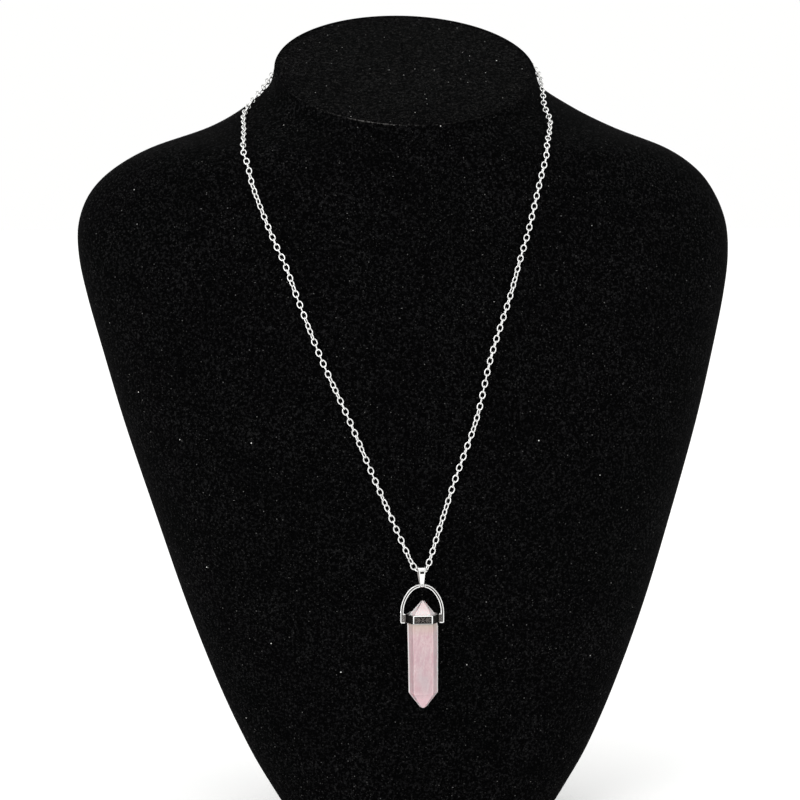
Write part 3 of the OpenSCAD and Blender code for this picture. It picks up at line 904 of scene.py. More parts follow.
# The pads' raised grains: seed, distance from the rim, radii, heights, and place off their even spacing
GRAIN_SEED = 5
GRAIN_MARGIN = 0.12
GRAIN_R = (0.07, 0.12)
GRAIN_H = (0.09, 0.15)
GRAIN_JITTER = 0.03
# How far a grain's foot is sunk in the pad's floor
GRAIN_SUNK = 0.03
GRAIN_SIDES = 8
# Each new grain is this share of the pad's width further on.
GOLDEN = 0.618034
# Rings of a grain. Columns: share of the way up, and how dull it is there
GRAIN_RINGS = [(0.0, 0.9), (0.45, 0.65), (0.8, 0.38), (0.97, 0.25)]


def arch_edge(inset, count):
    """Half of the arch's edge, drawn inset within its outer line, from the springing to the notch."""
    rise = ARCH_RISE - CROWN_R
    run = STIRRUP_R - CROWN_R
    offset = (rise**2 - run**2) / (2 * run)
    side_r = STIRRUP_R + offset
    join = math.atan2(rise, offset)
    crown = CROWN_R - inset
    end = math.acos(NOTCH / 2 / crown)
    points = []
    for i in range(count):
        turn = end * i / (count - 1)
        if turn < join:
            points.append((-offset + (side_r - inset) * math.cos(turn), (side_r - inset) * math.sin(turn)))
        else:
            points.append((crown * math.cos(turn), rise + crown * math.sin(turn)))
    return points


def arc(middle, radius, start, end, count):
    """Points of an arc between two angles in degrees."""
    turns = np.radians(np.linspace(start, end, count))
    return [(middle[0] + radius * math.cos(turn), middle[1] + radius * math.sin(turn)) for turn in turns]


def inset_outline(points, amount):
    """A closed outline, counter-clockwise, moved inwards by an amount."""
    p = np.array(points)
    ahead = unit(np.roll(p, -1, axis=0) - p)
    behind = unit(p - np.roll(p, 1, axis=0))
    normal_a = np.stack([-ahead[:, 1], ahead[:, 0]], 1)
    normal_b = np.stack([-behind[:, 1], behind[:, 0]], 1)
    miter = unit(normal_a + normal_b)
    stretch = 1 / np.maximum((miter * normal_a).sum(axis=1), 0.4)
    return p + miter * (amount * stretch)[:, None]


BAND_POINTS = 64
# The left half is blackened less, as painted light: it faces the light from the left, so the right half looks
# darker.
LEFT_PAINTED_LIGHT_FACTOR = 0.86


def half_stirrup(stirrup):
    """Right half of the stirrup: a rimmed band that runs into a rimmed pad, over its springing line."""
    band = stirrup.band_width / MM
    pad_low = -PAD_DROP - stirrup.pad_height / MM
    outer = arch_edge(0, BAND_POINTS)
    inner = arch_edge(band, BAND_POINTS)
    inner_x = STIRRUP_R - band
    leg = [-LEG_LOW, -PAD_DROP]
    pad = (arc((STIRRUP_R - PAD_CORNER, pad_low + PAD_CORNER), PAD_CORNER, 0, -90, 8)
           + arc((PAD_IN_X + PAD_CORNER, pad_low + PAD_CORNER), PAD_CORNER, -90, -180, 8)
           + arc((PAD_IN_X + PAD_INNER_CORNER, -PAD_DROP - PAD_INNER_CORNER), PAD_INNER_CORNER, 180, 90, 6))
    outline = (
        [(x, z) for x, z in reversed(outer)]
        + [(STIRRUP_R, z) for z in leg]
        + pad
        + [(inner_x, z) for z in reversed(leg)]
        + inner
    )
    outline.reverse()
    count = len(outline)
    band_half, pad_half = stirrup.band_depth / MM / 2, stirrup.pad_depth / MM / 2
    loops = []
    flat = np.array(outline)
    depth = pad_half + (band_half - pad_half) * smoothstep(flat[:, 1], -PAD_DROP, LEG_BLEND)
    rim = stirrup.rim / MM
    profile = [(rim + 0.03, PAD_FLOOR), (rim, 0.06), (rim - 0.06, 0.0)] + RIM_EDGE
    for inset, down in profile:
        shape = inset_outline(outline, inset)
        loops.append([(x, -(d - down), z) for (x, z), d in zip(shape, depth)])
    for inset, down in reversed(profile):
        shape = inset_outline(outline, inset)
        loops.append([(x, d - down, z) for (x, z), d in zip(shape, depth)])
    draft = Draft()
    crown_share = smoothstep(flat[:, 1], *GROOVE_FADE)
    groove_black = GROOVE_BLACK + (GROOVE_CROWN_BLACK - GROOVE_BLACK) * crown_share
    on_side = (flat[:, 0] < PAD_IN_X + 0.2) & (flat[:, 1] < -PAD_DROP - 0.25)
    dull_side = np.where(on_side, PAD_EDGE_DULL, 0.0)
    edge_black = [groove_black, groove_black * 0.5, dull_side * 0.55]
    blacks = edge_black + [dull_side] * (len(loops) - 6) + edge_black[::-1]
    starts = draft.skin(loops, blacks, capped=False)
    # Reversed outline: inner band edge from the crown down, leg, pad, leg, outer band edge up
    pairs = BAND_POINTS + len(leg)
    for start in (starts[0], starts[-1]):
        for i in range(pairs - 1):
            a, b = start + i, start + i + 1
            c, d = start + count - 2 - i, start + count - 1 - i
            draft.add_face((a, b, c, d))
        draft.add_face([start + k for k in range(pairs - 1, count - pairs + 1)])
    return draft


def grain_lumps(stirrup, draft):
    """Small raised grains on both faces of the pad."""
    rng = random.Random(GRAIN_SEED)
    rim = stirrup.rim / MM + GRAIN_MARGIN
    low = -PAD_DROP - stirrup.pad_height / MM + rim
    high = -PAD_DROP - rim
    left, right = PAD_IN_X + rim, STIRRUP_R - rim
    floor = stirrup.pad_depth / MM / 2 - PAD_FLOOR
    turns = [2 * math.pi * k / GRAIN_SIDES for k in range(GRAIN_SIDES)]
    for face in (-1, 1):
        for i in range(stirrup.grains):
            x = left + (right - left) * ((i * GOLDEN) % 1) + rng.uniform(-GRAIN_JITTER, GRAIN_JITTER)
            z = low + (high - low) * (i + 0.5) / stirrup.grains
            radius = rng.uniform(*GRAIN_R)
            height = rng.uniform(*GRAIN_H)
            rings = []
            for up, _ in GRAIN_RINGS:
                r = radius * math.sqrt(1 - up**2)
                y = face * (floor - GRAIN_SUNK + height * up)
                rings.append([(x + r * math.cos(turn), y, z + r * math.sin(turn)) for turn in turns])
            draft.skin(rings, [dull for _, dull in GRAIN_RINGS])


def stirrup_mesh(stirrup):
    """Both halves of the stirrup, with their bores and grains, and the necked pin across the notch."""
    draft = half_stirrup(stirrup)
    half = draft.to_mesh("half", 40)
    bore = Draft()
    pad_z = AXIS_Z - SPRING_Z
    bore.skin(moved(lathe([(PAD_IN_X - 0.5, BORE_R), (BORE_END_X, BORE_R)], 40), (0, 0, pad_z)))
    half = cut(half, bore.to_mesh("bore", 40))
    grains = Draft()
    grain_lumps(stirrup, grains)
    right = merged("right", [half, grains.to_mesh("grains", 60)])
    left = right.copy()
    left.transform(Matrix.Diagonal((-1, 1, 1, 1)))
    # Painted light: the left half's blackening is weakened.
    for point in left.attributes["wear_patina_and_painted_light"].data:
        point.value *= LEFT_PAINTED_LIGHT_FACTOR
    pin = Draft()
    wall = NOTCH / 2
    profile = [(wall + 0.25, 0.46), (wall - 0.02, 0.46), (wall - 0.08, 0.42), (wall - 0.14, 0.385),
               (wall - 0.18, CROWN_PIN_R)]
    rows = profile + [(-x, r) for x, r in reversed(profile)]
    pin.skin(moved(lathe(rows, 36), (0, 0, CROWN_PIN_Z - SPRING_Z)), [PIN_DULL] * len(rows))
    mesh = merged("grooved_stirrup", [right, left, pin.to_mesh("pin", 40)])
    mesh.transform(Matrix.Translation(Vector((HANG_X + STIRRUP_SIDE, HANG_Y, SPRING_Z)) * MM))
    point_outwards(mesh)
    smooth(mesh, 40)
    return mesh


# The cut is uneven: the front facet lies a little to the left.
FACET_SIDE = -0.25


def crystal_section(crystal, width, grown):
    """Corners of the crystal's section, grown outwards."""
    full, facet, depth = crystal.width / MM, crystal.facet / MM, crystal.depth / MM
    k = width / full
    half_depth = depth / 2 * k
    wall_angle = math.atan2((full - facet) / 2, depth / 2)
    corner = width / 2 + grown / math.cos(wall_angle)
    edge = corner - (width / 2 - facet / 2 * k) * (half_depth + grown) / half_depth
    low, high = -half_depth - grown, half_depth + grown
    left, right = FACET_SIDE * k - edge, FACET_SIDE * k + edge
    return [(-corner, 0), (left, low), (right, low), (corner, 0), (right, high), (left, high)]


# The collar: wall at its side corners, gap for the glue, and the studs' radius and reach
CORNER_WALL = 0.25
GLUE_GAP = 0.04
STUD_R = 0.5
STUD_TIP_X = 6.3
STUD_DULL = 0.9
# Rounding of the collar's upper and lower end: its reach, and the directions of its levels in degrees
END_REACH = 0.18
END_TURNS = [12, 25, 38, 52, 68, 90]
# Distance between the collar's points
GRID_STEP = 0.045
CORNER_STEPS = 4
# The front and back plates stand proud of the slanted faces beside them.
PLATE_HALF_W = 2.97
PLATE_SIDE = -0.2
PLATE_PROUD = 0.14
PLATE_CORNER_R = 0.36
# How bare the tops of the scrollwork are, and how tarnished the plate's lower bar is
SCROLL_BARE = 0.45
LOWER_BAR_TARNISH = 0.36
# Distances from a scroll's middle line between which its sides slope
SCROLL_SIDE = (0.05, 0.14)
# Rounding of the upper and lower edges of the plates and of the slanted faces
PLATE_EDGE_R = 0.09
SLANTED_EDGE_R = 0.18
# Panels of the slanted faces: place to the side, rims at their ends and along them, and depths at each end
SLANTED_SHIFT = 0.16
SLANTED_END_RIM = 0.26
SLANTED_RIM = 0.34
SLANTED_DEPTHS = (0.05, 0.15)
SLANTED_BLACK = 0.95
# Numbers of the outline's sides, from the front's left corner
SLANTED_SIDES = (0, 4, 6, 10)
PLATE_SIDES = (2, 8)
SIDE_FLATS = (5, 11)


def rounded_outline(corners, radii, step):
    """Evenly spaced points of a convex outline with rounded corners.

    Rows: x, y, outward normal x, y, side (-1 on a corner), place along the side from its middle.
    """
    count = len(corners)
    rows = []
    starts, ends = [], []
    for i in range(count):
        here = np.array(corners[i])
        before, after = np.array(corners[i - 1]), np.array(corners[(i + 1) % count])
        a, b = unit(before - here), unit(after - here)
        half = math.acos(np.clip(a @ b, -1, 1)) / 2
        cut_back = radii[i] / math.tan(half)
        starts.append(here + a * cut_back)
        ends.append(here + b * cut_back)
    for i in range(count):
        here = np.array(corners[i])
        if radii[i]:
            bisector = unit(unit(starts[i] - here) + unit(ends[i] - here))
            half = math.acos(np.clip(unit(starts[i] - here) @ bisector, -1, 1))
            middle = here + bisector * radii[i] / math.sin(half)
            first = math.atan2(*(starts[i] - middle)[::-1])
            last = math.atan2(*(ends[i] - middle)[::-1])
            sweep = (last - first + math.pi) % (2 * math.pi) - math.pi
            for k in range(CORNER_STEPS):
                turn = first + sweep * k / CORNER_STEPS
                normal = np.array([math.cos(turn), math.sin(turn)])
                rows.append([*(middle + radii[i] * normal), *normal, -1, 0])
        start, end = ends[i], starts[(i + 1) % count]
        length = np.linalg.norm(end - start)
        along = (end - start) / length
        normal = np.array([along[1], -along[0]])
        steps = max(int(length / step), 2)
        for k in range(steps):
            point = start + along * length * k / steps
            rows.append([*point, *normal, i, length * k / steps - length / 2])
    return np.array(rows)


def box_distance(u, z, half_u, half_z, radius):
    """Distance to a rounded rectangle's edge, negative inside."""
    qx, qz = np.abs(u) - half_u + radius, np.abs(z) - half_z + radius
    outside = np.hypot(np.maximum(qx, 0), np.maximum(qz, 0))
    return outside + np.minimum(np.maximum(qx, qz), 0) - radius


# Scrolls of the plate: how far each winds, where it starts and its steps, in degrees, its outer and inner
# radius, and its middle
SCROLL_WIND = 420
SCROLL_START = 200
SCROLL_STEP = 20
SCROLL_RADII = (0.42, 0.12)
SCROLL_MIDDLE = (1.28, 0.42)


def scroll_strokes():
    """Strokes of plain scrollwork for the plate: a cross with a knob in the middle, scrolls to each side."""
    strokes = [[(-0.03, 0.0), (0.03, 0.0)]]
    wide, narrow = SCROLL_RADII
    for side in (-1, 1):
        for up in (-1, 1):
            # Arm of the cross
            strokes.append([(side * (0.1 * t + 0.5 * t * t), up * 0.78 * t) for t in np.linspace(0.1, 1, 6)])
            # Scroll
            scroll = []
            for wound in range(0, SCROLL_WIND, SCROLL_STEP):
                r = wide + (narrow - wide) * wound / SCROLL_WIND
                turn = math.radians(wound + SCROLL_START)
                scroll.append((side * (SCROLL_MIDDLE[0] + r * math.cos(turn)),
                               up * (SCROLL_MIDDLE[1] + 0.9 * r * math.sin(turn))))
            strokes.append(scroll)
            # Leaf beside the scroll
            strokes.append([(side * (1.75 + 0.22 * math.sin(2.6 * t)), up * (0.05 + 0.72 * t))
                            for t in np.linspace(0, 1, 7)])
        # Bow at the end of the plate, and bar between the cross and the scrolls
        strokes.append([(side * (2.3 + 0.1 * math.cos(3 * z)), z) for z in np.linspace(-0.62, 0.62, 7)])
        strokes.append([(side * 0.45, 0.0), (side * 0.8, 0.0)])
    return strokes


def stroke_distance(u, z, strokes):
    """Distance from points of the panel to the nearest stroke."""
    nearest = np.full(u.shape, 9.0)
    for stroke in strokes:
        for (ax, az), (bx, bz) in zip(stroke, stroke[1:]):
            dx, dz = bx - ax, bz - az
            along = np.clip(((u - ax) * dx + (z - az) * dz) / max(dx * dx + dz * dz, 1e-9), 0, 1)
            nearest = np.minimum(nearest, np.hypot(u - ax - along * dx, z - az - along * dz))
    return nearest


def collar_outline(crystal, wall):
    """Outer outline of the collar, seen from above."""
    width = crystal.width / MM
    hexagon = crystal_section(crystal, width, wall)
    side_x = width / 2 + GLUE_GAP + CORNER_WALL
    corner, edge, deep = hexagon[3][0], (hexagon[2][0] - hexagon[1][0]) / 2, hexagon[4][1]
    flat = deep * (corner - side_x) / (corner - edge)
    low = deep - PLATE_PROUD
    left, right = PLATE_SIDE - PLATE_HALF_W, PLATE_SIDE + PLATE_HALF_W
    front = [(-side_x, -flat), (left - 0.02, -low), (left, -deep), (right, -deep), (right + 0.02, -low),
             (side_x, -flat)]
    corners = front + [(x, -y) for x, y in reversed(front)]
    return rounded_outline(corners, [0.12, 0, 0.07, 0.07, 0, 0.12] * 2, GRID_STEP)


def towards_outline(outline, section):
    """Points of a smaller outline, one for each point of the outer one, along the lines to the middle."""
    points = []
    for x, y in outline:
        scale = 9.0
        for (ax, ay), (bx, by) in zip(section, section[1:] + section[:1]):
            edge_x, edge_y = bx - ax, by - ay
            across = x * edge_y - y * edge_x
            if abs(across) > 1e-9:
                t = (ax * edge_y - ay * edge_x) / across
                if t > 0:
                    scale = min(scale, t)
        points.append((x * scale, y * scale))
    return points


def sunk_collar(collar, half_h, side, u, level, strokes):
    """How far each point of a level lies under the outline, and how blackened it is."""
    slanted, plate = np.isin(side, SLANTED_SIDES), np.isin(side, PLATE_SIDES)
    edge_r = np.where(slanted, SLANTED_EDGE_R, PLATE_EDGE_R)
    over = np.clip((abs(level) - half_h + edge_r) / edge_r, 0, 1)
    sunk = edge_r * (1 - np.sqrt(1 - over**2))
    black = np.zeros(len(side))
    frame_w = collar.frame_width / MM
    # Plates: a rounded frame, a deep panel and scrollwork
    place = u[plate]
    outside = box_distance(place, level, PLATE_HALF_W, half_h, PLATE_CORNER_R)
    inside = box_distance(place, level, PLATE_HALF_W - frame_w, half_h - frame_w, 0.15)
    floor = 1 - smoothstep(inside, -0.07, 0.0)
    raised = 1 - smoothstep(stroke_distance(place, level, strokes), *SCROLL_SIDE)
    sunk[plate] += collar.panel_depth / MM * floor - collar.scroll_height / MM * raised * floor
    sunk[plate] = np.maximum(sunk[plate], PLATE_PROUD * smoothstep(outside, -0.04, 0.02))
    black[plate] = (1 - smoothstep(inside, -0.1, -0.03)) * (1 - SCROLL_BARE * raised)
    black[plate] = np.maximum(black[plate], smoothstep(outside, 0.0, 0.05))
    if level < frame_w - half_h:
        black[plate] = np.maximum(black[plate], LOWER_BAR_TARNISH)
    # Slanted faces: a shallow panel that deepens away from the plate
    length = np.zeros(slanted.sum())
    for number in SLANTED_SIDES:
        length[side[slanted] == number] = np.abs(u[side == number]).max()
    place = u[slanted] * np.where(np.isin(side[slanted], SLANTED_SIDES[1::2]), 1, -1)
    inside = box_distance(place + SLANTED_SHIFT, level, length - SLANTED_END_RIM, half_h - SLANTED_RIM, 0.12)
    floor = 1 - smoothstep(inside, -0.06, 0.0)
    shallow, deep = SLANTED_DEPTHS
    sunk[slanted] += (shallow + (deep - shallow) * (place / length + 1) / 2) * floor
    dark_band = SLANTED_BLACK * (abs(level) < half_h - 0.15)
    black[slanted] = np.maximum(1 - smoothstep(inside, -0.08, -0.02), dark_band)
    black[np.isin(side, SIDE_FLATS)] = 1.0
    return sunk, black


def collar_mesh(settings):
    """Hexagonal band with framed plates front and back, shallow panels beside them, and two studs."""
    collar, crystal = settings.collar, settings.crystal
    width, half_h = crystal.width / MM, collar.height / MM / 2
    outline = collar_outline(crystal, collar.wall / MM)
    inner = towards_outline(outline[:, :2], crystal_section(crystal, width, GLUE_GAP * 0.75))
    strokes = scroll_strokes()
    straight = half_h - END_REACH - 0.01
    middle = np.linspace(-straight, straight, int(2 * half_h / GRID_STEP))
    end = half_h - END_REACH * (1 - np.sin(np.radians(END_TURNS)))
    draft = Draft()
    rings, blacks = [], []
    for level in np.concatenate([-end[::-1], middle, end]):
        sunk, black = sunk_collar(collar, half_h, outline[:, 4], outline[:, 5], level, strokes)
        ring = outline[:, :2] - outline[:, 2:4] * sunk[:, None]
        rings.append([(x, y, level) for x, y in ring])
        blacks.append(black)
    for level in (half_h, half_h - 0.06, 0.06 - half_h, -half_h):
        rings.append([(x, y, level) for x, y in inner])
        blacks.append(0.0)
    draft.skin(rings, blacks, looped=True)
    profile = [(width / 2 - 0.1, STUD_R), (STUD_TIP_X - 0.1, STUD_R), (STUD_TIP_X - 0.03, STUD_R - 0.03),
               (STUD_TIP_X, STUD_R - 0.1)]
    draft.skin(lathe(profile, 40), [STUD_DULL] * len(profile))
    draft.skin(lathe([(-x, r) for x, r in profile], 40), [STUD_DULL] * len(profile))
    mesh = draft.to_mesh("framed_collar", 50)
    mesh.transform(Matrix.Translation(Vector((HANG_X, HANG_Y, AXIS_Z)) * MM))
    return mesh


# The upper shoulder over the collar's middle, and the length of the body down to the lower one
SHOULDER_UP = 0.45
BODY_LEN = 23.0
# Where the straight sides of each point would meet, measured from the collar's middle
UPPER_APEX = 5.72
LOWER_APEX = -28.33
# Radii of the blunted tips
UPPER_TIP_R = 0.9
LOWER_TIP_R = 1.55
TIP_RUBBED = 0.3
TIP_STEPS = 8
# The stone isn't quite straight: rows of height from the collar's middle and place to the side
STONE_LINE = [(-28, 0.26), (-24, 0.28), (-22, 0.32), (-8, 0.22), (-2.6, 0.12), (-1.5, 0.0), (1.5, 0.0),
              (2.4, 0.1), (5.7, 0.16)]
# It is widest just below the collar: rows of height and added half width
STONE_SWELL = [(-24, 0.03), (-12, 0.05), (-2.5, 0.09), (-1.5, 0.0), (6, 0.0)]
# Ground edges, from the corner's first point to its last, lightened partly by wear and partly as a painted
# highlight. Columns: share of the way, and how strong that is
CORNER_POINTS = [(0, 0), (0.25, 0.8), (0.5, 1), (0.75, 0.8), (1, 0)]
# Distance to the extra points that keep the facets flat beside a ground edge
SUPPORT = 0.06
# How rubbed the edges around the shoulders are
BEND_WORN = 0.06
# How strongly each vertical edge is lightened, partly by wear and partly as a painted highlight, from the
# left one around the front; the side edges along the outline get the most
EDGE_WEAR_AND_HIGHLIGHT = [1, 0.1, 0.1, 0.85, 0.1, 0.1]
# Reach of the ground edge on the side corners, as a multiple of the others', and beside it how far the
# facet is fully lightened and where that ends, as a painted highlight along the outline
SIDE_EDGE_REACH = 1.6
SIDE_HIGHLIGHT_FULL = 0.45
SIDE_FADE = 0.95


def stone_ring(crystal, width, ground):
    """Corners of the crystal's section with rounded edges, and how strongly each point is lightened by wear
    and painted highlight.
    """
    corners = [np.array(corner) for corner in crystal_section(crystal, width, 0)]
    points, worn = [], []
    for i, here in enumerate(corners):
        back, ahead = corners[i - 1] - here, corners[(i + 1) % 6] - here
        on_side = i in (0, 3)
        shortest = min(np.linalg.norm(back), np.linalg.norm(ahead))
        reach = min(ground * (SIDE_EDGE_REACH if on_side else 1), 0.3 * shortest)
        grown = reach / ground / SIDE_EDGE_REACH if on_side else min(1, reach / ground)
        beside = [(SIDE_FADE, 0.0), (SIDE_HIGHLIGHT_FULL, 1.0)] if on_side else [(SUPPORT * 0.5, 0.0)]
        start, end = here + unit(back) * reach, here + unit(ahead) * reach
        for place, wear_patina_and_painted_light in beside:
            points.append(start + unit(back) * place * grown)
            worn.append(wear_patina_and_painted_light * EDGE_WEAR_AND_HIGHLIGHT[i])
        # On the side corners the whole ground edge is lightened, as a painted highlight along the outline.
        for t, wear_patina_and_painted_light in CORNER_POINTS:
            points.append(start * (1 - t) ** 2 + here * 2 * t * (1 - t) + end * t * t)
            worn.append((1.0 if on_side else wear_patina_and_painted_light) * EDGE_WEAR_AND_HIGHLIGHT[i])
        for place, wear_patina_and_painted_light in reversed(beside):
            points.append(end + unit(ahead) * place * grown)
            worn.append(wear_patina_and_painted_light * EDGE_WEAR_AND_HIGHLIGHT[i])
    return points, np.array(worn)


def rounded_bend(before, bend, after, reach):
    """Rows of height, half width and rubbing around a bend of the crystal's side."""
    bend = np.array(bend)
    back, ahead = unit(np.array(before) - bend), unit(np.array(after) - bend)
    start, end = bend + back * reach, bend + ahead * reach
    rows = [(*(start + back * SUPPORT), 0)]
    for t, wear_patina_and_painted_light in CORNER_POINTS:
        rows.append((*(start * (1 - t) ** 2 + bend * 2 * t * (1 - t) + end * t * t), wear_patina_and_painted_light * BEND_WORN))
    return rows + [(*(end + ahead * SUPPORT), 0)]


def rounded_tip(apex, shoulder, radius):
    """Rows of height, half width and rubbing from the straight side to the end of the point."""
    height = abs(shoulder[0] - apex)
    slope = math.atan2(shoulder[1], height)
    way = 1 if apex > shoulder[0] else -1
    centre = apex - way * radius / math.sin(slope)
    rows = []
    for i in range(TIP_STEPS + 1):
        turn = slope + (math.pi / 2 * 0.985 - slope) * i / TIP_STEPS
        wear_patina_and_painted_light = min(i / 3, 1) * TIP_RUBBED
        rows.append((centre + way * radius * math.sin(turn), radius * math.cos(turn), wear_patina_and_painted_light))
    return [(rows[0][0] - way * 0.15, rows[0][1] + 0.15 * math.tan(slope), 0)] + rows


def crystal_mesh(crystal):
    """Six-sided point at both ends, with ground edges and blunted tips."""
    width = crystal.width / MM
    low_z, low_half = SHOULDER_UP - BODY_LEN, (width - crystal.taper / MM) / 2
    up_z, up_half = SHOULDER_UP, width / 2
    reach = crystal.edge / MM
    lower = rounded_tip(LOWER_APEX, (low_z, low_half), LOWER_TIP_R)
    upper = rounded_tip(UPPER_APEX, (up_z, up_half), UPPER_TIP_R)
    rows = lower[::-1]
    rows += rounded_bend((LOWER_APEX, 0), (low_z, low_half), (up_z, up_half), reach)
    for z, _ in STONE_SWELL[1:-1]:
        rows.append((z, low_half + (up_half - low_half) * (z - low_z) / (up_z - low_z), 0))
    rows += rounded_bend((low_z, low_half), (up_z, up_half), (UPPER_APEX, 0), reach)
    rows += upper
    draft = Draft()
    rings, wear_and_light_rows = [], []
    for z, half, bend_worn in rows:
        swell = np.interp(z, *zip(*STONE_SWELL)) * min(half / low_half, 1)
        points, worn = stone_ring(crystal, 2 * (half + swell), reach)
        aside = np.interp(z, *zip(*STONE_LINE))
        rings.append([(x + aside, y, z) for x, y in points])
        wear_and_light_rows.append(np.maximum(worn, bend_worn))
    draft.skin(rings, wear_and_light_rows)
    mesh = draft.to_mesh("quartz_point", 180)
    mesh.transform(Matrix.Translation(Vector((HANG_X, HANG_Y, AXIS_Z)) * MM))
    return mesh


def new_material(name, **numbers):
    """Material with a Principled shader, its uniform numbers and colours set on its own sockets."""
    material = bpy.data.materials.new(name)
    material.use_nodes = True
    shader = material.node_tree.nodes["Principled BSDF"]
    for socket, value in numbers.items():
        shader.inputs[socket.replace("_", " ")].default_value = value
    return material, material.node_tree, shader


def blend_colors(tree, amount, first, second):
    """Mix of two colours or sockets by an amount socket."""
    mix = tree.nodes.new("ShaderNodeMix")
    mix.data_type = "RGBA"
    tree.links.new(amount, mix.inputs["Factor"])
    for socket, value in ((mix.inputs[6], first), (mix.inputs[7], second)):
        if isinstance(value, bpy.types.NodeSocket):
            tree.links.new(value, socket)
        else:
            socket.default_value = (*value, 1.0)
    return mix.outputs[2]


def spread(tree, value, from_low, from_high, to_low=0.0, to_high=1.0):
    """Stretches a value between two limits."""
    node = tree.nodes.new("ShaderNodeMapRange")
    tree.links.new(value, node.inputs["Value"])
    numbers = {"From Min": from_low, "From Max": from_high, "To Min": to_low, "To Max": to_high}
    for name, number in numbers.items():
        node.inputs[name].default_value = number
    return node.outputs["Result"]


def combine(tree, operation, first, second):
    """Result of an operation on two sockets or numbers."""
    node = tree.nodes.new("ShaderNodeMath")
    node.operation = operation
    for socket, value in zip(node.inputs, (first, second)):
        if isinstance(value, bpy.types.NodeSocket):
            tree.links.new(value, socket)
        else:
            socket.default_value = value
    return node.outputs[0]


def product(tree, first, *others):
    """Product of sockets or numbers."""
    for other in others:
        first = combine(tree, "MULTIPLY", first, other)
    return first


def object_places(tree, closer=(1, 1, 1), slant=0):
    """Places on the piece in millimetres, times a number along each axis, slanted by an angle in degrees."""
    places = tree.nodes.new("ShaderNodeTexCoord")
    mapping = tree.nodes.new("ShaderNodeMapping")
    mapping.vector_type = "TEXTURE"
    mapping.inputs["Rotation"].default_value = (0, math.radians(slant), 0)
    mapping.inputs["Scale"].default_value = [MM / times for times in closer]
    tree.links.new(places.outputs["Object"], mapping.inputs["Vector"])
    return mapping.outputs["Vector"]


def noise(tree, places, scale, detail, roughness):
    """Noise whose scale is given in waves a millimetre."""
    node = tree.nodes.new("ShaderNodeTexNoise")
    node.inputs["Scale"].default_value = scale
    node.inputs["Detail"].default_value = detail
    node.inputs["Roughness"].default_value = roughness
    tree.links.new(places, node.inputs["Vector"])
    return node.outputs["Fac"]


def bump(tree, shader, height, distance, strength):
    """Raises the surface by a height socket, over a distance in millimetres."""
    node = tree.nodes.new("ShaderNodeBump")
    node.inputs["Distance"].default_value = distance * MM
    node.inputs["Strength"].default_value = strength
    tree.links.new(height, node.inputs["Height"])
    tree.links.new(node.outputs["Normal"], shader.inputs["Normal"])


def wear_patina_and_painted_light_amount(tree):
    """Wear, blackening and painted light that the mesh gives each place."""
    node = tree.nodes.new("ShaderNodeAttribute")
    node.attribute_name = "wear_patina_and_painted_light"
    return node.outputs["Fac"]


def speck_amount(tree, places, scale, radius, share_kept):
    """Round specks of a radius, in a share of the cells, of which scale fit in a millimetre."""
    cells = tree.nodes.new("ShaderNodeTexVoronoi")
    cells.inputs["Scale"].default_value = scale
    tree.links.new(places, cells.inputs["Vector"])
    near = spread(tree, cells.outputs["Distance"], radius * scale, radius * scale * 0.5)
    pick = tree.nodes.new("ShaderNodeSeparateColor")
    tree.links.new(cells.outputs["Color"], pick.inputs["Color"])
    kept = spread(tree, pick.outputs["Red"], 1 - share_kept, 1 - share_kept * 0.2)
    return product(tree, near, kept)


# Specks on the velvet. Columns: cells a millimetre, radius in millimetres, share of the cells with a speck
TUFTS = (1.1, 0.2, 0.6)
SMALL_LINT = (0.5, 0.19, 0.4)
LARGE_LINT = (0.15, 0.23, 0.5)
FIBRES = (0.2, 0.2, 0.5)
# How pale the tufts and fibres are, and the small lint on the plain pile and on the pile with painted light
TUFT_PALE = 0.035
FIBRE_PALE = 0.3
SMALL_LINT_PALE = (0.16, 0.5)
# Fibres are flat specks: places on the bust are multiplied by these numbers along each axis.
FIBRE_SHAPE = (0.6, 0.5, 3.0)


def velvet_material(bust):
    """Black pile: fine grain, patches where it leans, pale specks and fibres of lint, a painted highlight on
    the rolled edge and painted light on the neck top.
    """
    material, tree, shader = new_material("black_velvet", Roughness=0.95, Specular_IOR_Level=0.01,
                                          Sheen_Weight=0.003, Sheen_Roughness=0.6)
    places = object_places(tree)
    # Pile, lighter where it leans
    grain = spread(tree, noise(tree, places, 1.2, 3.0, 0.8), 0.5, 0.75)
    patches = spread(tree, noise(tree, places, 0.06, 3.0, 0.6), 0.3, 0.7, 0.6, 1.3)
    lean = product(tree, grain, patches)
    pile = blend_colors(tree, lean, bust.pile_color, bust.pile_light_color)
    # Painted highlight on the rolled edge and painted light on the neck top, laid in dots that are closer
    # together the stronger it is
    wear_patina_and_painted_light = wear_patina_and_painted_light_amount(tree)
    dots = combine(tree, "ADD", noise(tree, places, 0.8, 4.0, 0.9), product(tree, wear_patina_and_painted_light, 0.13))
    worn = product(tree, wear_patina_and_painted_light, spread(tree, dots, 0.56, 0.72))
    pile = blend_colors(tree, worn, pile, bust.painted_light_pile_color)
    # Lint
    tufts = product(tree, speck_amount(tree, places, *TUFTS), TUFT_PALE)
    pale = spread(tree, wear_patina_and_painted_light, 0.0, 0.1, *SMALL_LINT_PALE)
    small = product(tree, speck_amount(tree, places, *SMALL_LINT), pale)
    large = speck_amount(tree, places, *LARGE_LINT)
    fibres = product(tree, speck_amount(tree, object_places(tree, FIBRE_SHAPE), *FIBRES), FIBRE_PALE)
    specks = tufts
    for more in (small, large, fibres):
        specks = combine(tree, "MAXIMUM", specks, more)
    pile = blend_colors(tree, specks, pile, bust.lint_color)
    tree.links.new(pile, shader.inputs["Base Color"])
    bump(tree, shader, noise(tree, places, 3.0, 3.0, 0.7), 0.12, 0.8)
    return material


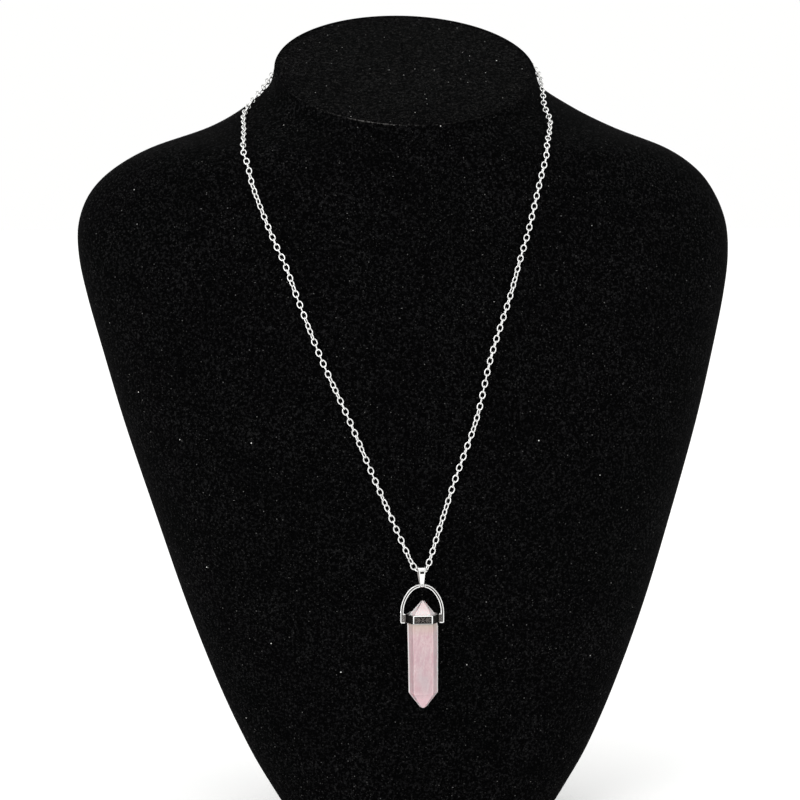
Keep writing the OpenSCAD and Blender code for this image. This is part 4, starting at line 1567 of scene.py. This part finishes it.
def silver_material(metal, name, worn_scale, roughness):
    """Polished silver with worn patches, faint scratches and blackened recesses."""
    material, tree, shader = new_material(name, Specular_IOR_Level=0.1)
    places = object_places(tree)
    wear = noise(tree, places, worn_scale, 4.0, 0.6)
    # Blackening from the mesh's mask, a little patchy: first tarnish, then black. The mask also carries
    # painted light: the stirrup's left half is blackened less, and the bail's foot groove is darkened as a
    # painted reflection
    patchy = spread(tree, noise(tree, places, 2.4, 3.0, 0.7), 0.35, 0.6, 0.95, 1.0)
    black = product(tree, wear_patina_and_painted_light_amount(tree), patchy)
    color = blend_colors(tree, spread(tree, wear, 0.45, 0.75), metal.silver_color, metal.dull_color)
    color = blend_colors(tree, spread(tree, black, 0.0, 0.5), color, metal.tarnish_color)
    color = blend_colors(tree, spread(tree, black, 0.5, 0.92), color, metal.black_color)
    tree.links.new(color, shader.inputs["Base Color"])
    tree.links.new(spread(tree, black, 0.55, 0.95, 1.0, 0.0), shader.inputs["Metallic"])
    rough = spread(tree, wear, 0.3, 0.8, roughness, roughness + 0.14)
    rough = combine(tree, "ADD", rough, product(tree, black, 0.3))
    tree.links.new(rough, shader.inputs["Roughness"])
    scratches = noise(tree, object_places(tree, (1.0, 1.0, 6.0)), 3.0, 4.0, 0.7)
    bump(tree, shader, scratches, 0.02, 0.5)
    return material


# Zones of the quartz, in millimetres from the collar's middle or, to the side, from where the pendant hangs.
# Columns: where each starts, and where it is full
LOW_ZONE = (-21.5, -24.5)
WARM_FOOT = (-5.0, -1.6)
WARM_TOP = (1.0, -1.0)
HIGH_ZONE = (-1.0, 1.2)
SMOKE_TOP = (-8, -15)
SMOKE_FOOT = (-24.5, -20)
SMOKE_LEFT = (-3.0, -0.8)
SMOKE_RIGHT = (2.8, 1.2)
BRIGHT_FOOT = (0.6, 1.2)
BRIGHT_TOP = (3.4, 1.8)
# Painted light on the side facets, on the right and on the left
PAINTED_LIGHT_RIGHT = (2.6, 3.4)
PAINTED_LIGHT_LEFT = (-3.1, -3.7)
# Streaks and flecks: places are multiplied by these numbers along each axis, and lean by an angle in degrees.
STREAK_SHAPE = (1.0, 1.0, 0.14)
STREAK_LEAN = 8
FLECK_SHAPE = (1.0, 1.0, 0.6)
FLECK_LEAN = -20


def quartz_material(crystal):
    """Milky pink quartz: streaks and flecks, zones of other colours, side facets lightened as painted light,
    and pale ground edges that are partly a painted highlight.
    """
    material, tree, shader = new_material(
        "rose_quartz", Roughness=0.28, IOR=1.54, Subsurface_Radius=(1.0, 0.6, 0.65), Subsurface_Scale=0.0012,
        Coat_Weight=0.15, Coat_Roughness=0.2)
    places = object_places(tree)
    axes = tree.nodes.new("ShaderNodeSeparateXYZ")
    tree.links.new(places, axes.inputs["Vector"])

    def up(zone, most=1.0):
        return spread(tree, axes.outputs["Z"], AXIS_Z + zone[0], AXIS_Z + zone[1], 0.0, most)

    def aside(zone, most=1.0):
        return spread(tree, axes.outputs["X"], HANG_X + zone[0], HANG_X + zone[1], 0.0, most)

    # Streaks, clouds and flecks
    streaks = noise(tree, object_places(tree, STREAK_SHAPE, STREAK_LEAN), 1.6, 5.0, 0.7)
    clouds = noise(tree, places, 0.22, 4.0, 0.6)
    flecks = noise(tree, object_places(tree, FLECK_SHAPE, FLECK_LEAN), 1.9, 3.0, 0.7)
    milky = combine(tree, "ADD", product(tree, spread(tree, streaks, 0.42, 0.58), 0.6),
                    product(tree, spread(tree, clouds, 0.38, 0.62), 0.4))
    color = blend_colors(tree, milky, crystal.pink_color, crystal.milky_color)
    color = blend_colors(tree, spread(tree, flecks, 0.42, 0.66, 0.0, 0.7), color, crystal.pink_color)
    # Zones from the lower point to the upper one
    color = blend_colors(tree, up(LOW_ZONE, 0.8), color, crystal.low_color)
    warm = product(tree, up(WARM_FOOT, 0.75), up(WARM_TOP))
    color = blend_colors(tree, warm, color, crystal.warm_color)
    color = blend_colors(tree, up(HIGH_ZONE, 0.85), color, crystal.high_color)
    cloudy = spread(tree, clouds, 0.35, 0.6, 0.1, 0.6)
    smoke = product(tree, aside(SMOKE_LEFT), aside(SMOKE_RIGHT), up(SMOKE_TOP), up(SMOKE_FOOT), cloudy)
    color = blend_colors(tree, smoke, color, crystal.smoky_color)
    # Side facets lightened as painted light, most on the right, which the light from the left reaches least,
    # and a paler band on the upper point just above the collar
    pale = combine(tree, "ADD", aside(PAINTED_LIGHT_RIGHT, 0.2), aside(PAINTED_LIGHT_LEFT, 0.05))
    color = blend_colors(tree, pale, color, crystal.ground_edge_and_painted_light_color)
    bright = product(tree, up(BRIGHT_FOOT), up(BRIGHT_TOP, 0.35))
    color = blend_colors(tree, bright, color, crystal.ground_edge_and_painted_light_color)
    # Ground edges, partly worn and partly a painted highlight along the edges and outline
    uneven = spread(tree, noise(tree, places, 1.5, 2.0, 0.5), 0.2, 0.6, 0.7, 1.0)
    edges = product(tree, wear_patina_and_painted_light_amount(tree), uneven)
    color = blend_colors(tree, edges, color, crystal.ground_edge_and_painted_light_color)
    tree.links.new(spread(tree, edges, 0.0, 0.6, 0.5, 0.1), shader.inputs["Subsurface Weight"])
    tree.links.new(color, shader.inputs["Base Color"])
    bump(tree, shader, streaks, 0.03, 0.5)
    return material


def floor_material(stage):
    """Plain pale floor with a faint mottle."""
    material, tree, shader = new_material("pale_floor", Roughness=0.9, Specular_IOR_Level=0.1,
                                          Emission_Strength=stage.floor_glow)
    mottle = noise(tree, object_places(tree), 0.01, 2.0, 0.5)
    shade = [value * FLOOR_MOTTLE for value in stage.floor_color]
    tree.links.new(blend_colors(tree, mottle, stage.floor_color, shade), shader.inputs["Base Color"])
    return material


# Lights: where each stands and what it points at, in metres, and how wide it is
SUN_PLACE = (-0.12, -0.3, 0.9)
SUN_AIM = (0, 0, 0)
SUN_SPREAD = 50
SOFTBOX_PLACE = (-0.6, -1.1, 0.7)
SOFTBOX_AIM = (0, -0.04, 0.1)
SOFTBOX_SIZE = (0.5, 0.7)
# Half the width of the floor, in metres
FLOOR_REACH = 6.0
FLOOR_MOTTLE = 0.985
SURROUNDINGS_COLOR = (1.0, 1.0, 0.995, 1.0)


class PENDANT_OT_stage(Operator):
    """Adds the floor, the soft light and the camera"""

    bl_idname = "pendant.stage"
    bl_label = "Stage"
    bl_options = {"REGISTER", "UNDO"}

    def execute(self, context):
        stage = context.scene.pendant.stage
        scene = context.scene
        add_camera(scene)
        scene.view_settings.view_transform = "Standard"
        world = bpy.data.worlds.new("white_surroundings")
        world.use_nodes = True
        backdrop = world.node_tree.nodes["Background"]
        backdrop.inputs["Color"].default_value = SURROUNDINGS_COLOR
        backdrop.inputs["Strength"].default_value = stage.world_strength
        scene.world = world
        sun = bpy.data.lights.new("overhead_light", "SUN")
        sun.energy = stage.sun_strength
        sun.angle = math.radians(SUN_SPREAD)
        add_light(scene, sun, SUN_PLACE, SUN_AIM)
        key = bpy.data.lights.new("softbox", "AREA")
        key.shape = "RECTANGLE"
        key.size, key.size_y = SOFTBOX_SIZE
        key.energy = stage.key_power
        add_light(scene, key, SOFTBOX_PLACE, SOFTBOX_AIM)
        floor = bpy.data.meshes.new("floor")
        corners = [(x * FLOOR_REACH, y * FLOOR_REACH, 0) for x, y in ((-1, -1), (1, -1), (1, 1), (-1, 1))]
        floor.from_pydata(corners, [], [(0, 1, 2, 3)])
        floor.materials.append(floor_material(stage))
        ground = bpy.data.objects.new("floor", floor)
        scene.collection.objects.link(ground)
        return {"FINISHED"}


# The camera's direction in degrees, its distance from the pendant in millimetres, and its lens
CAMERA_AZIMUTH = -5
CAMERA_ELEVATION = 5
CAMERA_DISTANCE = 900
CAMERA_LENS = 135
CAMERA_SENSOR = 36
CLIP_START = 0.01
# The chain's lowest point lies this far right of and below the picture's middle, in millimetres.
APEX_RIGHT = 6.69
APEX_BELOW = 51.66


def add_camera(scene):
    """Camera at the photographed angle."""
    azimuth, elevation = math.radians(CAMERA_AZIMUTH), math.radians(CAMERA_ELEVATION)
    back = Vector((math.sin(azimuth) * math.cos(elevation), -math.cos(azimuth) * math.cos(elevation),
                   math.sin(elevation)))
    right = (-back).cross(Vector((0, 0, 1))).normalized()
    up = right.cross(-back)
    target = Vector((HANG_X, HANG_Y, APEX_Z)) - right * APEX_RIGHT + up * APEX_BELOW
    lens = bpy.data.cameras.new("camera")
    lens.lens = CAMERA_LENS
    lens.sensor_width = CAMERA_SENSOR
    lens.clip_start = CLIP_START
    camera = bpy.data.objects.new("camera", lens)
    camera.matrix_world = Matrix((right, up, back)).transposed().to_4x4()
    camera.location = (target + back * CAMERA_DISTANCE) * MM
    scene.collection.objects.link(camera)
    scene.camera = camera


def add_light(scene, light, place, aim):
    """Puts a light at a place and points it at another."""
    lamp = bpy.data.objects.new(light.name, light)
    lamp.location = place
    lamp.rotation_euler = (Vector(aim) - Vector(place)).to_track_quat("-Z", "Y").to_euler()
    scene.collection.objects.link(lamp)


class PENDANT_OT_bust(Operator):
    """Builds the velvet neck bust"""

    bl_idname = "pendant.bust"
    bl_label = "Bust"
    bl_options = {"REGISTER", "UNDO"}

    def execute(self, context):
        bust = context.scene.pendant.bust
        add_piece("velvet_bust", velvet_mesh(bust), [velvet_material(bust)], "root", "bust")
        return {"FINISHED"}


class PENDANT_OT_chain(Operator):
    """Builds the cable chain, link by link"""

    bl_idname = "pendant.chain"
    bl_label = "Chain"
    bl_options = {"REGISTER", "UNDO"}

    def execute(self, context):
        settings = context.scene.pendant
        silver = silver_material(settings.metal, "chain_silver", 0.8, settings.metal.roughness)
        add_piece("cable_chain", chain_mesh(settings), [silver], "root", "chain")
        return {"FINISHED"}


class PENDANT_OT_clasp(Operator):
    """Builds the plain clasp behind the neck"""

    bl_idname = "pendant.clasp"
    bl_label = "Clasp"
    bl_options = {"REGISTER", "UNDO"}

    def execute(self, context):
        settings = context.scene.pendant
        silver = silver_material(settings.metal, "clasp_silver", 0.6, settings.metal.roughness)
        add_piece("snap_clasp", clasp_mesh(settings), [silver], "root", "clasp")
        return {"FINISHED"}


class PENDANT_OT_bail(Operator):
    """Builds the folded bail"""

    bl_idname = "pendant.bail"
    bl_label = "Bail"
    bl_options = {"REGISTER", "UNDO"}

    def execute(self, context):
        settings = context.scene.pendant
        silver = silver_material(settings.metal, "bail_silver", 0.7, settings.metal.roughness)
        add_piece("folded_bail", bail_mesh(settings.bail), [silver], "bail", "bail")
        return {"FINISHED"}


class PENDANT_OT_stirrup(Operator):
    """Builds the grooved stirrup with its pads and crown pin"""

    bl_idname = "pendant.stirrup"
    bl_label = "Stirrup"
    bl_options = {"REGISTER", "UNDO"}

    def execute(self, context):
        settings = context.scene.pendant
        silver = silver_material(settings.metal, "stirrup_silver", 0.7, settings.metal.roughness)
        mesh = stirrup_mesh(settings.stirrup)
        add_piece("grooved_stirrup", mesh, [silver], "stirrup", "stirrup")
        return {"FINISHED"}


class PENDANT_OT_collar(Operator):
    """Builds the framed collar with its studs"""

    bl_idname = "pendant.collar"
    bl_label = "Collar"
    bl_options = {"REGISTER", "UNDO"}

    def execute(self, context):
        settings = context.scene.pendant
        silver = silver_material(settings.metal, "collar_silver", 0.7, settings.metal.roughness)
        add_piece("framed_collar", collar_mesh(settings), [silver], "point", "collar")
        return {"FINISHED"}


class PENDANT_OT_crystal(Operator):
    """Builds the double-ended crystal point"""

    bl_idname = "pendant.crystal"
    bl_label = "Crystal"
    bl_options = {"REGISTER", "UNDO"}

    def execute(self, context):
        crystal = context.scene.pendant.crystal
        quartz = quartz_material(crystal)
        add_piece("quartz_point", crystal_mesh(crystal), [quartz], "point", "crystal")
        return {"FINISHED"}


BUILDERS = (PENDANT_OT_stage, PENDANT_OT_bust, PENDANT_OT_chain, PENDANT_OT_clasp, PENDANT_OT_bail,
            PENDANT_OT_stirrup, PENDANT_OT_collar, PENDANT_OT_crystal)


class PENDANT_PT_panel(Panel):
    """Lists the pieces and their settings"""

    bl_idname = "PENDANT_PT_panel"
    bl_label = "Crystal point pendant"
    bl_space_type = "VIEW_3D"
    bl_region_type = "UI"
    bl_category = "Pendant"

    def draw(self, context):
        settings = context.scene.pendant
        for builder in BUILDERS:
            self.layout.operator(builder.bl_idname)
        for name in settings.bl_rna.properties.keys():
            group = getattr(settings, name)
            if isinstance(group, PropertyGroup):
                box = self.layout.box()
                box.label(text=name.capitalize())
                for key in group.bl_rna.properties.keys():
                    if key not in {"rna_type", "name"}:
                        box.prop(group, key)


CLASSES = (PENDANT_PG_bust, PENDANT_PG_chain, PENDANT_PG_clasp, PENDANT_PG_bail, PENDANT_PG_stirrup,
           PENDANT_PG_collar, PENDANT_PG_crystal, PENDANT_PG_metal, PENDANT_PG_stage, PENDANT_PG_settings,
           *BUILDERS, PENDANT_PT_panel)


def register():
    """Registers every class and puts the settings on the scene."""
    for cls in CLASSES:
        bpy.utils.register_class(cls)
    bpy.types.Scene.pendant = PointerProperty(type=PENDANT_PG_settings)


def unregister():
    """Takes the settings and the classes away again."""
    del bpy.types.Scene.pendant
    for cls in reversed(CLASSES):
        bpy.utils.unregister_class(cls)


def main():
    register()
    bpy.ops.pendant.stage()
    bpy.ops.pendant.bust()
    bpy.ops.pendant.chain()
    bpy.ops.pendant.clasp()
    bpy.ops.pendant.bail()
    bpy.ops.pendant.stirrup()
    bpy.ops.pendant.collar()
    bpy.ops.pendant.crystal()


if __name__ == "__main__":
    main()
